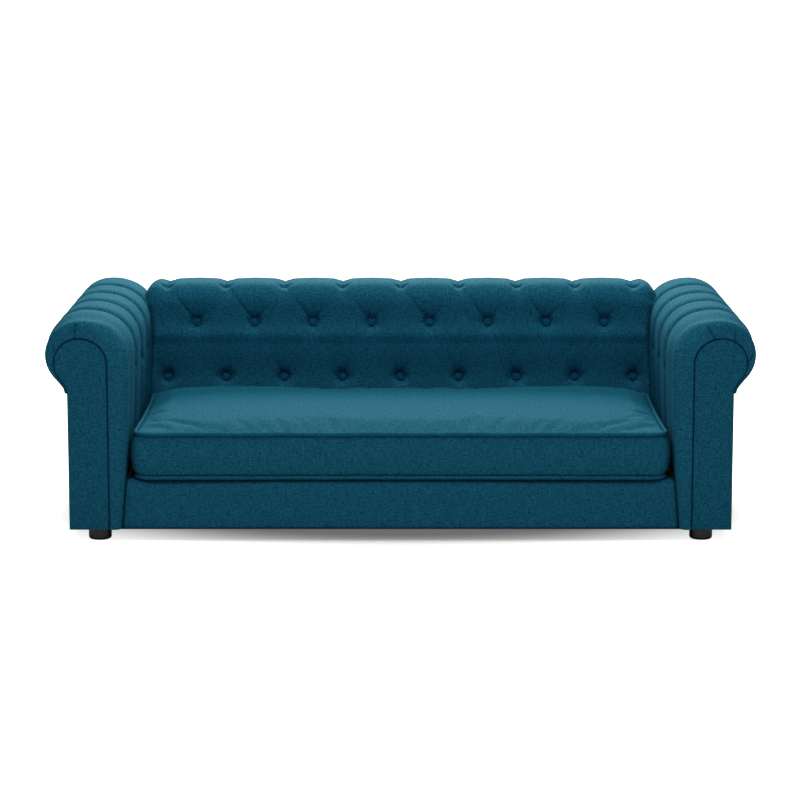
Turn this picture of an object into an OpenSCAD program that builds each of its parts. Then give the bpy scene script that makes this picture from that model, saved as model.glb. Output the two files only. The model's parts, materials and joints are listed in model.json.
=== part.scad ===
// Low pet sofa with rolled arms and a rolled, diamond-tufted back on a timber frame.
// A loose box cushion with piped seams and a zipped cover lies between the arms.
// The front faces -Y, +X is the viewer's right, +Z is up, and the sofa stands on z = 0.
// An outline is drawn as (x, z) for the arms and as (y, z) for the back.

/* [Overall] */
// Width over both arm rolls
sofa_w = 1100; // [1000:1:1300]
// Depth from the arm fronts to the rear of the back roll
sofa_d = 550; // [530:1:640]
// Height of the back roll
sofa_h = 350; // [340:1:370]

/* [Arms] */
// How much lower the arm rolls end than the back roll
arm_drop = 2; // [0:0.5:8]
// Radius of the outer half of the arm roll
arm_roll_r = 53; // [50:0.5:56]
// Width of the roll's inner half, from its crest to the inner bulge
arm_bulge_w = 73; // [70:0.5:76]
// Height of the roll's inner half
arm_bulge_h = 70; // [66:0.5:74]
// Overhang of the roll past the arm's outer side
arm_overhang = 31.5; // [29:0.5:34]
// How far the inner side draws back from the bulge to the floor
arm_drawback = 13.5; // [10:0.5:16]
// Drop from the top of the arm rolls to the throat under them
arm_throat_drop = 112; // [108:0.5:118]
// Radius of the outer half of the arm board's head
arm_head_r = 39; // [37:0.5:41]
// Width of the inner half of the arm board's head
arm_head_in_w = 43; // [41:0.5:45]
// Padding over the top of the arm board's head
arm_top_pad = 26; // [22:0.5:28]
// Padding beside the outermost point of the arm board's head
arm_side_pad = 12; // [10:0.5:14]
// Radius of the padded edge round the arm's front and rear
arm_edge_r = 10; // [6:0.5:12]
// Depth of the flat facing that closes the arm's front
facing_t = 7.2; // [5:0.2:9]
// How far the facing lies behind the padded edge round it
facing_inset = 0.5; // [0:0.1:2]
// Width of the seam groove round the facing
seam_gap = 0.9; // [0.4:0.1:2]

/* [Back] */
// Overhang of the back roll past the outside back
back_overhang = 35; // [32:0.5:38]
// Radius of the rear half of the back roll
back_roll_r = 53; // [50:0.5:56]
// Depth of the roll's front half, from its crest to the front face
back_bulge_d = 72; // [68:0.5:76]
// Height of the roll's front half
back_bulge_h = 67; // [62:0.5:72]
// Depth of the back at the seat, from the front face to the rear of the roll
back_seat_d = 155.5; // [150:0.5:162]
// How far the front face swells between the seat and the roll
back_belly = 3; // [0:0.5:6]
// Drop from the top of the back roll to the throat under it
back_throat_drop = 114; // [110:0.5:120]
// Radius of the rear half of the post's head
back_head_r = 39; // [37:0.5:41]
// Depth of the front half of the post's head
back_head_in_d = 39; // [37:0.5:41]
// Padding over the top of the post's head
back_top_pad = 23; // [20:0.5:26]
// Padding behind the rearmost point of the post's head
back_rear_pad = 13; // [11:0.5:15]
// Padding in front of the back panel at the seat
back_pad_t = 27; // [22:0.5:30]
// How far short of the crests of the arm rolls the back's ends stop
back_end_inset = 61; // [42:1:66]
// Gap between the back's ends and the arms
arm_gap = 3; // [2:0.5:6]
// Radius of the back's padded ends
back_edge_r = 8; // [4:0.5:10]

/* [Tufting] */
// Spacing of the buttons along the back
back_pitch = 99; // [96:0.5:102]
// Least distance from an outer button to the back's end
back_tuft_end = 20; // [16:1:24]
// Drop from the top of the back roll to the lower row
back_row_drop = 154; // [145:1:165]
// Spacing of the folds along the arms, each with a button at its lower end
arm_pitch = 98; // [95:0.5:101]
// First fold, from the arm's front
arm_first_fold = 125; // [115:1:130]
// Drop from the top of the arm rolls to their row of buttons
arm_row_drop = 93; // [86:1:98]
// Least distance from an arm's button to the front of the back
arm_tuft_end = 20; // [12:1:30]
// Depth of the folds over the rolls
fold_depth = 8; // [5:0.5:9]
// Depth of the tufts
tuft_depth = 10; // [6:0.5:12]
// Radius of a tuft button
button_r = 8; // [6:0.5:9]
// Height of a tuft button
button_h = 5.5; // [4:0.5:7]

/* [Frame] */
// Plywood of the arm boards
board_t = 12; // [9:1:15]
// Thickness of the rails and posts
timber_t = 18; // [15:1:20]
// Hardboard panels
panel_t = 3; // [2:0.5:4]
// Fabric with its backing over the outer panels
skin_t = 1.2; // [0.8:0.1:2]
// Width of the base's side rails
side_rail_w = 44; // [36:1:50]
// Height of the base's rails under the deck
base_rail_h = 60; // [50:1:62]
// Seat deck
deck_t = 9; // [6:1:12]
// Felt on the deck
deck_pad_t = 8; // [5:0.5:10]
// Fabric under the frame
dust_t = 0.8; // [0.5:0.1:1.2]
// Leg length of the corner braces
brace_leg = 60; // [40:1:80]
// Offset of the cross rails from the centre
cross_rail_x = 140; // [100:1:180]
// Distance of the outer posts of the back from its ends
post_inset = 25; // [15:1:40]

/* [Front rail cover] */
// How far the cover lies behind the arm fronts
front_setback = 10.5; // [6:0.5:16]
// Padding in front of the rail
rail_pad_t = 6.5; // [4:0.5:10]
// Radius of its top edge
rail_edge_r = 14; // [8:0.5:16]

/* [Feet] */
// Radius of a foot
foot_r = 18; // [15:0.5:22]
// Height of a foot
foot_h = 19.2; // [17:0.2:24]
// Radius of its lower edge
foot_edge_r = 4; // [2:0.5:5]
// Distance from the arm's front or rear to a foot's centre
foot_inset = 33; // [30:0.5:60]
// Distance from a foot's centre to the arm's outer side
foot_side_inset = 45; // [26:0.5:52]
// Radius of the screw's recess in the foot
foot_recess_r = 6.2; // [5.8:0.1:7]
// Depth of that recess
foot_recess_d = 11; // [8:0.5:13]

/* [Fasteners] */
// Radius of the foot screws
screw_r = 2.4; // [2:0.1:2.6]
// Radius of a foot screw's head
screw_head_r = 5; // [4:0.1:5.4]
// Height of a foot screw's head
screw_head_h = 3; // [2:0.2:4]
// Radius of the bolts
bolt_r = 4; // [3:0.5:5]
// Radius of a bolt's flanged head and of its nut
bolt_head_r = 9; // [8:0.5:11]
// Height of a bolt's head and of its nut
bolt_head_h = 5; // [4:0.5:7]
// How far a bolt stands out of its nut
bolt_end = 3; // [1:0.5:6]
// Distance of the bolts into the arms from the front rail and from the rear rail
arm_bolt_inset = 90; // [75:1:120]
// Bolts that hold the back's bottom rail, from the centre
back_bolt_x = 270; // [240:1:300]

/* [Cushion] */
// Gap between the cushion's cover and the bulge of each arm
cushion_side_gap = 9; // [7:0.5:20]
// How far the cover lies behind the arm fronts
cushion_setback = 12.5; // [10:0.5:30]
// Gap between the cushion's rear piping and the back
cushion_rear_gap = 2; // [1:0.5:10]
// Height of the border between the two seams
border_h = 66; // [60:0.5:72]
// Height of the crown over the upper seam
crown_h = 21; // [10:0.5:24]
// Radius of the cushion's corners in plan
corner_r = 24; // [15:0.5:35]
// How far the front and sides draw in between the corners
draw_in = 3; // [0:0.5:6]
// How far the border swells between the seams
border_swell = 2; // [0:0.5:3]
// How far the rear border is sunk to make room for the zip
zip_recess = 6; // [5:0.5:8]
// Thickness of the cover and its wrap round the core
wrap_t = 12; // [9:0.5:16]
// Radius of the piping
piping_r = 3; // [2:0.25:3.5]

/* [Zip] */
// Distance from the cushion's sides to the ends of the slider's travel
zip_end_inset = 85; // [60:1:150]
// Width of the zip's tape
tape_w = 20; // [16:0.5:24]
// Thickness of the tape
tape_t = 1; // [0.6:0.1:1.2]
// Width of the zip's chain
chain_w = 6; // [5:0.2:8]
// Thickness of the chain
chain_t = 2.4; // [1.8:0.1:3]
// Spacing of the chain's ribs
rib_pitch = 5; // [4:0.5:8]
// Depth of the cuts between the ribs
rib_cut = 0.7; // [0.3:0.1:0.9]
// Length of the slider
slider_l = 13; // [10:0.5:16]
// Width of the slider
slider_w = 11; // [9.5:0.5:13]
// Wall of the slider over the chain
slider_t = 2; // [1.5:0.1:2.5]
// Radius of the stud that carries the pull
stud_r = 1.5; // [1.2:0.1:2]
// Length of the pull
pull_l = 24; // [18:0.5:26]
// Width of the pull
pull_w = 8; // [6.5:0.5:10]
// Thickness of the pull
pull_t = 1.6; // [1:0.1:2]

/* [Fits] */
// Clearance of a soft piece from what it lies against
soft_fit = 0.3; // [0.2:0.05:0.5]
// Clearance round a bolt or screw in its hole, on the radius
hole_fit = 0.15; // [0.1:0.05:0.3]
// Clearance of the slider round the chain
slider_fit = 0.4; // [0.3:0.05:0.6]
// Clearance of the pull round its stud, on the radius
eye_fit = 0.1; // [0.05:0.01:0.15]

/* [Hidden] */

fabric = "#1f5570";
fabric_dark = "#17455c";
timber = "#c9a877";
plywood = "#b8935c";
hardboard = "#7a5a3c";
felt = "#39454b";
foam = "#e6dfae";
steel = "#8f949a";
black = "#202124";

// One overrun serves every cut
cut = 1;
// Corners on a round face that a screw or pin runs in
round_n = 48;

// Heights and depths that pieces share
frame_z = foot_h + dust_t;
rail_top = frame_z + base_rail_h;
deck_top = rail_top + deck_t;
seat_z = deck_top + deck_pad_t;
y_front = -sofa_d / 2;
y_rear = sofa_d / 2;
y_out = y_rear - back_overhang;
base_y0 = y_front + front_setback + rail_pad_t;
base_y1 = base_y0 + timber_t;

// The arm's section, as distances from the sofa's centre
arm_top = sofa_h - arm_drop;
arm_throat_z = arm_top - arm_throat_drop;
arm_row_z = arm_top - arm_row_drop;
arm_x = sofa_w / 2 - arm_overhang;
arm_roll_x = sofa_w / 2 - arm_roll_r;
arm_roll_z = arm_top - arm_roll_r;
arm_bulge_z = arm_top - arm_bulge_h;
arm_head_x = sofa_w / 2 - arm_side_pad - arm_head_r;
arm_head_z = arm_top - arm_top_pad - arm_head_r;
arm_in_x = arm_head_x - arm_head_in_w;
arm_bulge_x = arm_roll_x - arm_bulge_w;
arm_board_y0 = y_front + facing_inset + facing_t;
arm_board_y1 = arm_board_y0 + board_t;
arm_rear_y1 = y_out - skin_t;
arm_rear_y0 = arm_rear_y1 - board_t;

// The back's section
back_throat_z = sofa_h - back_throat_drop;
back_row_z = sofa_h - back_row_drop;
back_end_x = arm_roll_x - back_end_inset;
back_roll_y = y_rear - back_roll_r;
back_roll_z = sofa_h - back_roll_r;
back_bulge_z = sofa_h - back_bulge_h;
back_front_y = back_roll_y - back_bulge_d;
back_seat_y = y_rear - back_seat_d;
back_head_y = y_rear - back_rear_pad - back_head_r;
back_head_z = sofa_h - back_top_pad - back_head_r;
post_seat_y = back_seat_y + back_pad_t + panel_t;
post_bulge_y = back_head_y - back_head_in_d;

// How the piping's middle lies beside a seam's edge: outwards, and over or under it
piping_out = piping_r * 0.87;
piping_up = piping_r * 0.72;

// The cushion's plan
cushion_hx = arm_bulge_x - cushion_side_gap;
cushion_y0 = y_front + cushion_setback;
cushion_y1 = back_seat_y - cushion_rear_gap - piping_r - piping_out;
cushion_hy = (cushion_y1 - cushion_y0) / 2;
cushion_y = (cushion_y0 + cushion_y1) / 2;
cushion_z = seat_z + soft_fit;
seam_lift = piping_r + piping_up;
seam_z0 = cushion_z + seam_lift;
seam_z1 = seam_z0 + border_h;

// Steps round a contour: neck of the keyhole, its head, and the two inner quarters
neck_n = 3;
arm_head_n = 7;
back_head_n = 6;
lip_a = -55;
lip_t = 1.5;
shoulder_a = 120;
arm_angles = concat([(90 + shoulder_a) / 2], [for (i = [0 : 4]) mix(shoulder_a, 180, i / 4)]);
// Where the top row of tufts lies on the back's shoulder, and how square that shoulder is
top_row_a = 110;
back_angles = [for (i = [0 : 5]) mix(top_row_a, 180, i / 5)];
square_n = 2.6;
// Columns between two tufts, how sharp the creases are, and how deep they stay between the tufts
columns = 6;
crease_share = 0.5;
back_crease_share = 0.4;

// Points of an elliptic arc
function arc(cx, cz, rx, rz, a0, a1, n) =
    [for (i = [0 : n]) let (a = a0 + (a1 - a0) * i / n) [cx + rx * cos(a), cz + rz * sin(a)]];
function tail(v) = [for (i = [1 : len(v) - 1]) v[i]];
function mix(a, b, f) = a + (b - a) * f;
function clamp01(v) = max(0, min(1, v));

// A keyhole outline is [side line, head's middle, head's height, head's radius, its inner half, throat].
// Its neck is a fillet between the side line and the head.
arm_key = [arm_x, arm_head_x, arm_head_z, arm_head_r, arm_head_in_w, arm_throat_z];
back_key = [y_out, back_head_y, back_head_z, back_head_r, back_head_in_d, back_throat_z];
function keyhole_top(k, off, head_n, angles) =
    let (dx = k[0] - k[1], dz = k[2] - k[5], r = k[3])
    let (rn = (dz * dz + dx * dx - r * r) / (2 * (r - dx)), a = -atan2(dz, dx + rn))
    concat(arc(k[0] + rn, k[5], rn - off, rn - off, 180, 180 + a, neck_n),
           tail(arc(k[1], k[2], r + off, r + off, a, 90, head_n)),
           [for (b = angles) [k[1] + (k[4] + off) * cos(b), k[2] + (r + off) * sin(b)]]);

// The arm's inner side: bulging at the roll, drawn back towards the floor
function arm_side_x(z) =
    z > arm_bulge_z
        ? arm_roll_x - arm_bulge_w * sqrt(1 - pow(min(1, (z - arm_bulge_z) / arm_bulge_h), 2))
        : arm_bulge_x + arm_drawback * pow((arm_bulge_z - z) / (arm_bulge_z - frame_z), 2);

// Front face of the back between the seat and the roll, and the line of its posts
function back_face_y(z) =
    let (f = (z - seat_z) / (back_bulge_z - seat_z))
    mix(back_seat_y, back_front_y, f) - 4 * back_belly * f * (1 - f);
function post_face_y(z) = mix(post_seat_y, post_bulge_y, (z - deck_top) / (back_head_z - deck_top));

// Where the back ends beside the arm at a height
function back_end(z) = min(arm_side_x(z), back_end_x) - arm_gap;

// Relief at u pitches along a row: 0 on a crest, 1 in a crease. A fold runs straight. The back's
// tufts lie r rows down from its top row, with creases from tuft to tuft.
function fold(u) = 1 - pow(abs(sin(180 * u)), 2 * crease_share);
function tuft(u, r) =
    let (a = abs(sin(180 * (u + r / 2))), b = abs(sin(180 * (u - r / 2))))
    r < 0 || r > 2
        ? fold(u)
        : max(1 - min(1, norm([a, b])), back_crease_share * (1 - pow(a * b, crease_share)));

// Points of the arm's contour: [across, z, depth of the relief]
arm_low_zs = concat([for (i = [0 : 4]) mix(arm_row_z, seat_z, i / 4)], [frame_z]);
arm_low_n = len(arm_low_zs) - 1;
arm_roll_n = neck_n + arm_head_n - 1;
arm_outer = concat(
    [[arm_x + lip_t, arm_throat_z, 0]],
    [for (i = [0 : arm_roll_n])
        let (a = mix(lip_a, 90, i / arm_roll_n))
        [arm_roll_x + arm_roll_r * cos(a), arm_roll_z + arm_roll_r * sin(a), fold_depth * i / arm_roll_n]],
    [for (i = [0 : len(arm_angles) - 1])
        let (a = arm_angles[i])
        [arm_roll_x + arm_bulge_w * cos(a), arm_bulge_z + arm_bulge_h * sin(a),
         mix(fold_depth, tuft_depth, max(0, i - 1) / 4)]],
    [for (i = [0 : arm_low_n])
        [arm_side_x(arm_low_zs[i]), arm_low_zs[i], tuft_depth * max(0, 1 - i / (arm_low_n - 1))]]);
arm_inner = concat(
    keyhole_top(arm_key, soft_fit, arm_head_n, arm_angles),
    [for (z = arm_low_zs) [arm_in_x - soft_fit, z]]);

// Points of the back's contour: [depth, z, row, depth of the relief]
back_low_zs = [mix(back_row_z, seat_z, 0.5), seat_z + soft_fit];
back_mid_zs = [for (i = [1 : 3]) mix(back_bulge_z, back_row_z, i / 3)];
back_roll_n = neck_n + back_head_n - 1;
back_outer = concat(
    [[y_out + lip_t, back_throat_z, -1, 0]],
    [for (i = [0 : back_roll_n])
        let (a = mix(lip_a, 90, i / back_roll_n))
        [back_roll_y + back_roll_r * cos(a), back_roll_z + back_roll_r * sin(a), -1,
         fold_depth * pow(i / back_roll_n, 0.7) * 0.8]],
    [for (i = [0 : len(back_angles) - 1])
        let (a = back_angles[i], p = 2 / square_n)
        [back_roll_y - back_bulge_d * pow(-cos(a), p), back_bulge_z + back_bulge_h * pow(max(0, sin(a)), p),
         i / 5, mix(fold_depth, tuft_depth, i / 5)]],
    [for (i = [0 : 2]) [back_face_y(back_mid_zs[i]), back_mid_zs[i], 1 + (i + 1) / 3, tuft_depth]],
    [for (i = [0 : 1])
        [back_face_y(back_low_zs[i]), back_low_zs[i], 2 + (i + 1) / 2, tuft_depth * (1 - i) * 0.6]]);
back_inner = concat(
    keyhole_top(back_key, panel_t + soft_fit, back_head_n, back_angles),
    [for (z = concat(back_mid_zs, back_low_zs)) [post_face_y(z) - panel_t - soft_fit, z]]);

// A point of the outer contour, pressed in towards the inner one
function pressed(p, q, by) =
    let (v = [q[0] - p[0], q[1] - p[1]], t = norm(v))
    [p[0], p[1]] + v * (min(by, 0.75 * t) / t);

// Stations along the arm: [y, rounding of the end there, strength of the relief]
arm_step = arm_pitch / columns;
arm_ys = concat(
    [for (a = [0, 30, 60]) [y_front + arm_edge_r * (1 - cos(a)), arm_edge_r * (1 - sin(a)), 0]],
    [[y_front + arm_edge_r, 0, 0]],
    [for (y = [y_front + arm_first_fold - 5 * arm_step : arm_step : y_out - arm_edge_r - arm_step / 8])
        [y, 0, clamp01((y - y_front - arm_edge_r) / (2 * arm_step))]],
    [for (a = [90, 45, 0]) [y_out - arm_edge_r * (1 - cos(a)), arm_edge_r * (1 - sin(a)), 0.5]]);
function arm_u(y) = (y - y_front - arm_first_fold) / arm_pitch;

// Stations along the back: [share of the way to the end, x where that share is 0, rounding]
back_cols = floor((back_end(back_bulge_z) - back_edge_r) * columns / back_pitch);
back_xs = concat(
    [for (f = [1, 0.5]) [-f, -1, f == 1 ? back_edge_r : back_edge_r / 4]],
    [for (i = [-back_cols : back_cols]) [0, i * back_pitch / columns, 0]],
    [for (f = [0.5, 1]) [f, 1, f == 1 ? back_edge_r : back_edge_r / 4]]);
back_last_x = back_cols * back_pitch / columns;
function back_station_x(s, z) = s[0] == 0 ? s[1] : s[1] * mix(back_last_x, back_end(z), abs(s[0]));

// Faces of a padded shell with s stations of n outer points, then one inner contour for each end.
// A crease keeps the edge along it, so each quad is split between its two deepest corners.
function quad(a, b, c, d, along) = along ? [[a, b, c], [a, c, d]] : [[a, b, d], [b, c, d]];
function shell_faces(s, n, deep) =
    let (ia = s * n, ib = s * n + n)
    concat(
        [for (i = [0 : s - 2]) for (j = [0 : n - 2])
            let (along = deep[i][j] + deep[i + 1][j + 1] >= deep[i + 1][j] + deep[i][j + 1])
            each quad(i * n + j, i * n + j + 1, (i + 1) * n + j + 1, (i + 1) * n + j, along)],
        [for (j = [0 : n - 2]) each quad(ia + j, ib + j, ib + j + 1, ia + j + 1, true)],
        [for (j = [0 : n - 2]) each quad(j, ia + j, ia + j + 1, j + 1, true)],
        [for (j = [0 : n - 2]) each quad((s - 1) * n + j + 1, ib + j + 1, ib + j, (s - 1) * n + j, true)],
        [for (i = [0 : s - 2]) [ia, i * n, (i + 1) * n]],
        [[ia, (s - 1) * n, ib]],
        [for (i = [0 : s - 2]) [ia + n - 1, (i + 1) * n + n - 1, i * n + n - 1]],
        [[ia + n - 1, ib + n - 1, (s - 1) * n + n - 1]]);

// Plan of the cushion at a distance from its seam, as points round it
plan_n = [4, 14, 7];
function plan_ring(inset) =
    let (hx = cushion_hx - inset, hy = cushion_hy - inset)
    let (r = min(max(corner_r - inset, corner_r / 4), hy * 0.9))
    [for (q = [0 : 3])
        let (sx = [1, -1, -1, 1], sy = [1, 1, -1, -1], p = (q + 1) % 4, n = plan_n[1 + q % 2])
        let (here = [sx[q] * (hx - r), sy[q] * (hy - r)], there = [sx[p] * (hx - r), sy[p] * (hy - r)])
        let (out = r * [cos(90 * q + 90), sin(90 * q + 90)])
        each concat(
            [for (i = [0 : plan_n[0]]) let (a = 90 * (q + i / plan_n[0])) here + r * [cos(a), sin(a)]],
            [for (i = [1 : n - 1]) mix(here, there, i / n) + out])];
function drawn(p) =
    [p[0] * (1 - draw_in / cushion_hx * (1 - pow(p[1] / cushion_hy, 2))),
     p[1] * (p[1] > 0 ? 1 : 1 - draw_in / cushion_hy * (1 - pow(p[0] / cushion_hx, 2))) + cushion_y];
function crown_z(p) =
    let (fx = 1 - pow(min(1, abs(p[0] / cushion_hx)), 2.6), fy = 1 - pow(min(1, abs(p[1] / cushion_hy)), 2.6))
    seam_z1 + crown_h * pow(fx * fy, 0.45);
// The border swells at the front and sides, and is sunk at the rear for the zip
function border_inset(p, swell) =
    let (rear = clamp01((p[1] / cushion_hy - 0.88) / 0.1)) mix(-border_swell * swell, zip_recess, rear);
function flat_ring(inset, z) = [for (p = plan_ring(inset)) let (d = drawn(p)) [d[0], d[1], z]];
function border_ring(swell, z) =
    let (base = plan_ring(0), n = len(base))
    [for (k = [0 : n - 1])
        let (t = base[(k + 1) % n] - base[(k + n - 1) % n], o = [t[1], -t[0]] / norm(t))
        let (d = drawn(base[k] - o * border_inset(base[k], swell)))
        [d[0], d[1], z]];
function crown_ring(inset) = [for (p = plan_ring(inset)) let (d = drawn(p)) [d[0], d[1], crown_z(p)]];
cushion_rings = [
    flat_ring(wrap_t * 2, cushion_z), flat_ring(seam_lift, cushion_z), flat_ring(0, seam_z0),
    border_ring(0.6, mix(seam_z0, seam_z1, 0.14)), border_ring(1, mix(seam_z0, seam_z1, 0.5)),
    border_ring(0.6, mix(seam_z0, seam_z1, 0.86)), flat_ring(0, seam_z1),
    crown_ring(cushion_hy * 0.04), crown_ring(cushion_hy * 0.12), crown_ring(cushion_hy * 0.3),
    crown_ring(cushion_hy * 0.55), crown_ring(cushion_hy * 0.8)];
function ring_faces(rings, n) =
    concat(
        [for (i = [0 : rings - 2]) for (k = [0 : n - 1])
            each quad(i * n + k, (i + 1) * n + k, (i + 1) * n + (k + 1) % n, i * n + (k + 1) % n, true)],
        [for (k = [0 : n - 1]) [rings * n, k, (k + 1) % n]],
        [for (k = [0 : n - 1]) [rings * n + 1, (rings - 1) * n + (k + 1) % n, (rings - 1) * n + k]]);

// A round loop of piping beside the seam, above it for up = 1 and below it for up = -1.
// It keeps every point of the corners and every second one between them.
piping_sides = 6;
piping_keeps = [for (q = [0 : 3]) each concat(
    [for (i = [0 : plan_n[0]]) true],
    [for (i = [1 : plan_n[1 + q % 2] - 1]) i % 2 == 0])];
module piping(seam, up) {
    whole = plan_ring(0);
    n = len(whole);
    picks = [for (k = [0 : n - 1]) if (piping_keeps[k]) k];
    ring = [for (k = picks)
        let (t = drawn(whole[(k + 1) % n]) - drawn(whole[(k + n - 1) % n]), o = [t[1], -t[0]] / norm(t))
        [drawn(whole[k]) + o * piping_out, o]];
    points = [for (p = ring) for (m = [0 : piping_sides - 1])
        let (a = 360 * (m + 0.5) / piping_sides)
        [p[0][0] + p[1][0] * piping_r * cos(a), p[0][1] + p[1][1] * piping_r * cos(a),
         seam + up * piping_up + piping_r * sin(a)]];
    s = piping_sides;
    c = len(ring);
    faces = [for (k = [0 : c - 1]) for (m = [0 : s - 1])
        let (k1 = (k + 1) % c, m1 = (m + 1) % s)
        each quad(k * s + m, k * s + m1, k1 * s + m1, k1 * s + m, true)];
    polyhedron(points, faces);
}

// Outlines set upright: (x, z) extruded along y, and (y, z) extruded along x
module along_y(y0, t) {
    translate([0, y0 + t, 0]) rotate([90, 0, 0]) linear_extrude(t) children();
}
module along_x(x0, t) {
    translate([x0, 0, 0]) rotate([90, 0, 90]) linear_extrude(t) children();
}
module block(lo, hi) {
    translate(lo) cube(hi - lo);
}
module left() {
    mirror([1, 0, 0]) children();
}
module both() {
    children();
    mirror([1, 0, 0]) children();
}

// The arm's keyhole, from its throat down to the frame's bottom
module arm_outline(off) {
    polygon(concat([[arm_x + off, frame_z]], keyhole_top(arm_key, off, arm_head_n, arm_angles),
                   [[arm_in_x - off, arm_row_z], [arm_in_x - off, frame_z]]));
}
// The same with a rebate for the outer panel and its cover
module arm_board_outline() {
    difference() {
        arm_outline(0);
        translate([arm_x - panel_t - skin_t, frame_z - cut])
            square([panel_t + skin_t + cut, arm_throat_z - frame_z + cut]);
    }
}
module arm_front_board() {
    color(plywood) along_y(arm_board_y0, board_t) arm_board_outline();
}
module arm_rear_board() {
    color(plywood) along_y(arm_rear_y0, board_t) arm_board_outline();
}
module arm_facing() {
    color(fabric_dark) {
        along_y(y_front + facing_inset + facing_t * 0.25, facing_t * 0.75) arm_outline(soft_fit - seam_gap);
        along_y(y_front + facing_inset, facing_t * 0.25) arm_outline(soft_fit - seam_gap * 2);
    }
}
module arm_rear_cover() {
    color(fabric_dark) along_y(arm_rear_y1, skin_t) arm_outline(0);
}

// Timbers between the two arm boards, each placed inside the keyhole
arm_span = [arm_board_y1, arm_rear_y0];
arm_bottom_z = frame_z + timber_t;
sill_top = arm_bottom_z + 2.2 * timber_t;
module arm_timber(x0, x1, z0, z1) {
    block([x0, arm_span[0], z0], [x1, arm_span[1], z1]);
}
module arm_bottom_board() {
    color(plywood) difference() {
        arm_timber(arm_in_x + panel_t, arm_x - panel_t - skin_t, frame_z, arm_bottom_z);
        foot_spots_right() translate([0, 0, frame_z - cut])
            cylinder(r = screw_r + hole_fit, h = timber_t + 2 * cut, $fn = round_n);
    }
}
module arm_rails() {
    inner = arm_in_x + panel_t;
    color(timber) {
        arm_timber(arm_head_x - arm_head_r * 0.56, arm_head_x + arm_head_r * 0.56,
                   arm_head_z + arm_head_r * 0.72 - timber_t, arm_head_z + arm_head_r * 0.72);
        arm_timber(arm_head_x + arm_head_r * 0.82 - timber_t, arm_head_x + arm_head_r * 0.82,
                   arm_head_z - arm_head_r * 0.44, arm_head_z + arm_head_r * 0.23);
        arm_timber(inner, inner + timber_t, arm_head_z - arm_head_r * 1.2, arm_head_z - arm_head_r * 0.2);
        difference() {
            arm_timber(inner, inner + timber_t, arm_bottom_z, sill_top);
            arm_bolt_spots() cylinder(r = bolt_r + hole_fit, h = side_rail_w * 2, $fn = round_n);
        }
    }
}
module arm_inner_panel() {
    color(hardboard) difference() {
        arm_timber(arm_in_x, arm_in_x + panel_t, frame_z, arm_head_z - arm_head_r * 0.2);
        arm_bolt_spots() cylinder(r = bolt_r + hole_fit, h = side_rail_w * 2, $fn = round_n);
    }
}
module arm_outer_panel() {
    color(hardboard) block([arm_x - skin_t - panel_t, arm_board_y0, frame_z],
                           [arm_x - skin_t, arm_rear_y1, arm_throat_z]);
}
module arm_outer_cover() {
    color(fabric) block([arm_x - skin_t, arm_board_y0, frame_z], [arm_x, arm_rear_y1, arm_throat_z]);
}

// The arm's padding: folds over the roll, diamonds on the inner side, a plain band at the front.
// Behind the band it stops at the seat, where the base meets the arm's frame.
module arm_pad() {
    n = len(arm_outer);
    deep = [for (s = arm_ys) [for (c = arm_outer) c[2] * s[2] * fold(arm_u(s[0]))]];
    outer = [for (i = [0 : len(arm_ys) - 1]) for (j = [0 : n - 1])
        let (p = pressed(arm_outer[j], arm_inner[j], deep[i][j] + arm_ys[i][1]))
        [p[0], arm_ys[i][0], p[1]]];
    ends = [for (y = [y_front, y_out]) for (q = arm_inner) [q[0], y, q[1]]];
    color(fabric) difference() {
        polyhedron(concat(outer, ends), shell_faces(len(arm_ys), n, deep));
        block([arm_bulge_x, base_y1 - soft_fit, frame_z - cut],
              [arm_in_x + timber_t, y_out + cut, seat_z + soft_fit]);
    }
}

// A domed button on a pad, its axis along -x of the (across, z) plane it is placed in
module button() {
    dome = arc(0, button_h * 0.3, button_r, button_h * 0.7, 0, 90, 5);
    color(fabric_dark) rotate_extrude($fn = round_n / 2)
        polygon(concat([[0, 0], [button_r * 0.94, 0]], dome));
}
// How far a button's flat back stands off the bottom of its crease or tuft, whose sides rise by
// that share of its depth within one column
function button_lift(rise_share, pitch) = tuft_depth * rise_share * button_r * columns / pitch + soft_fit;
function spot(outer, inner, j, by) = pressed(outer[j], inner[j], by);
function contour_dir(outer, j) =
    let (v = [outer[j + 1][0] - outer[j - 1][0], outer[j + 1][1] - outer[j - 1][1]]) v / norm(v);

// Contour points that carry the buttons
arm_row_j = 1 + arm_roll_n + 1 + len(arm_angles);
back_row_j = 1 + back_roll_n + len(back_angles);
back_low_row_j = back_row_j + 3;
module arm_buttons() {
    lift = button_lift(1 - fold(1 / columns), arm_pitch);
    at = spot(arm_outer, arm_inner, arm_row_j, tuft_depth - lift);
    d = contour_dir(arm_outer, arm_row_j);
    for (y = [y_front + arm_first_fold : arm_pitch : back_face_y(arm_row_z) - arm_tuft_end])
        translate([at[0], y, at[1]]) rotate([0, -90 + atan2(-d[0], -d[1]), 0]) button();
}
module back_button_row(j, us) {
    at = spot(back_outer, back_inner, j, tuft_depth - button_lift(1 - tuft(1 / columns, 0), back_pitch));
    d = contour_dir(back_outer, j);
    for (u = us) translate([u * back_pitch, at[0], at[1]])
        rotate([90 - atan2(-d[0], -d[1]), 0, 0]) button();
}
tuft_reach = (back_end(back_row_z) - back_tuft_end) / back_pitch;
module back_buttons_upper() {
    half = floor(tuft_reach + 0.5) - 0.5;
    back_button_row(back_row_j, [for (u = [-half : half]) u]);
}
module back_buttons_lower() {
    half = floor(tuft_reach);
    back_button_row(back_low_row_j, [for (u = [-half : half]) u]);
}

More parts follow.
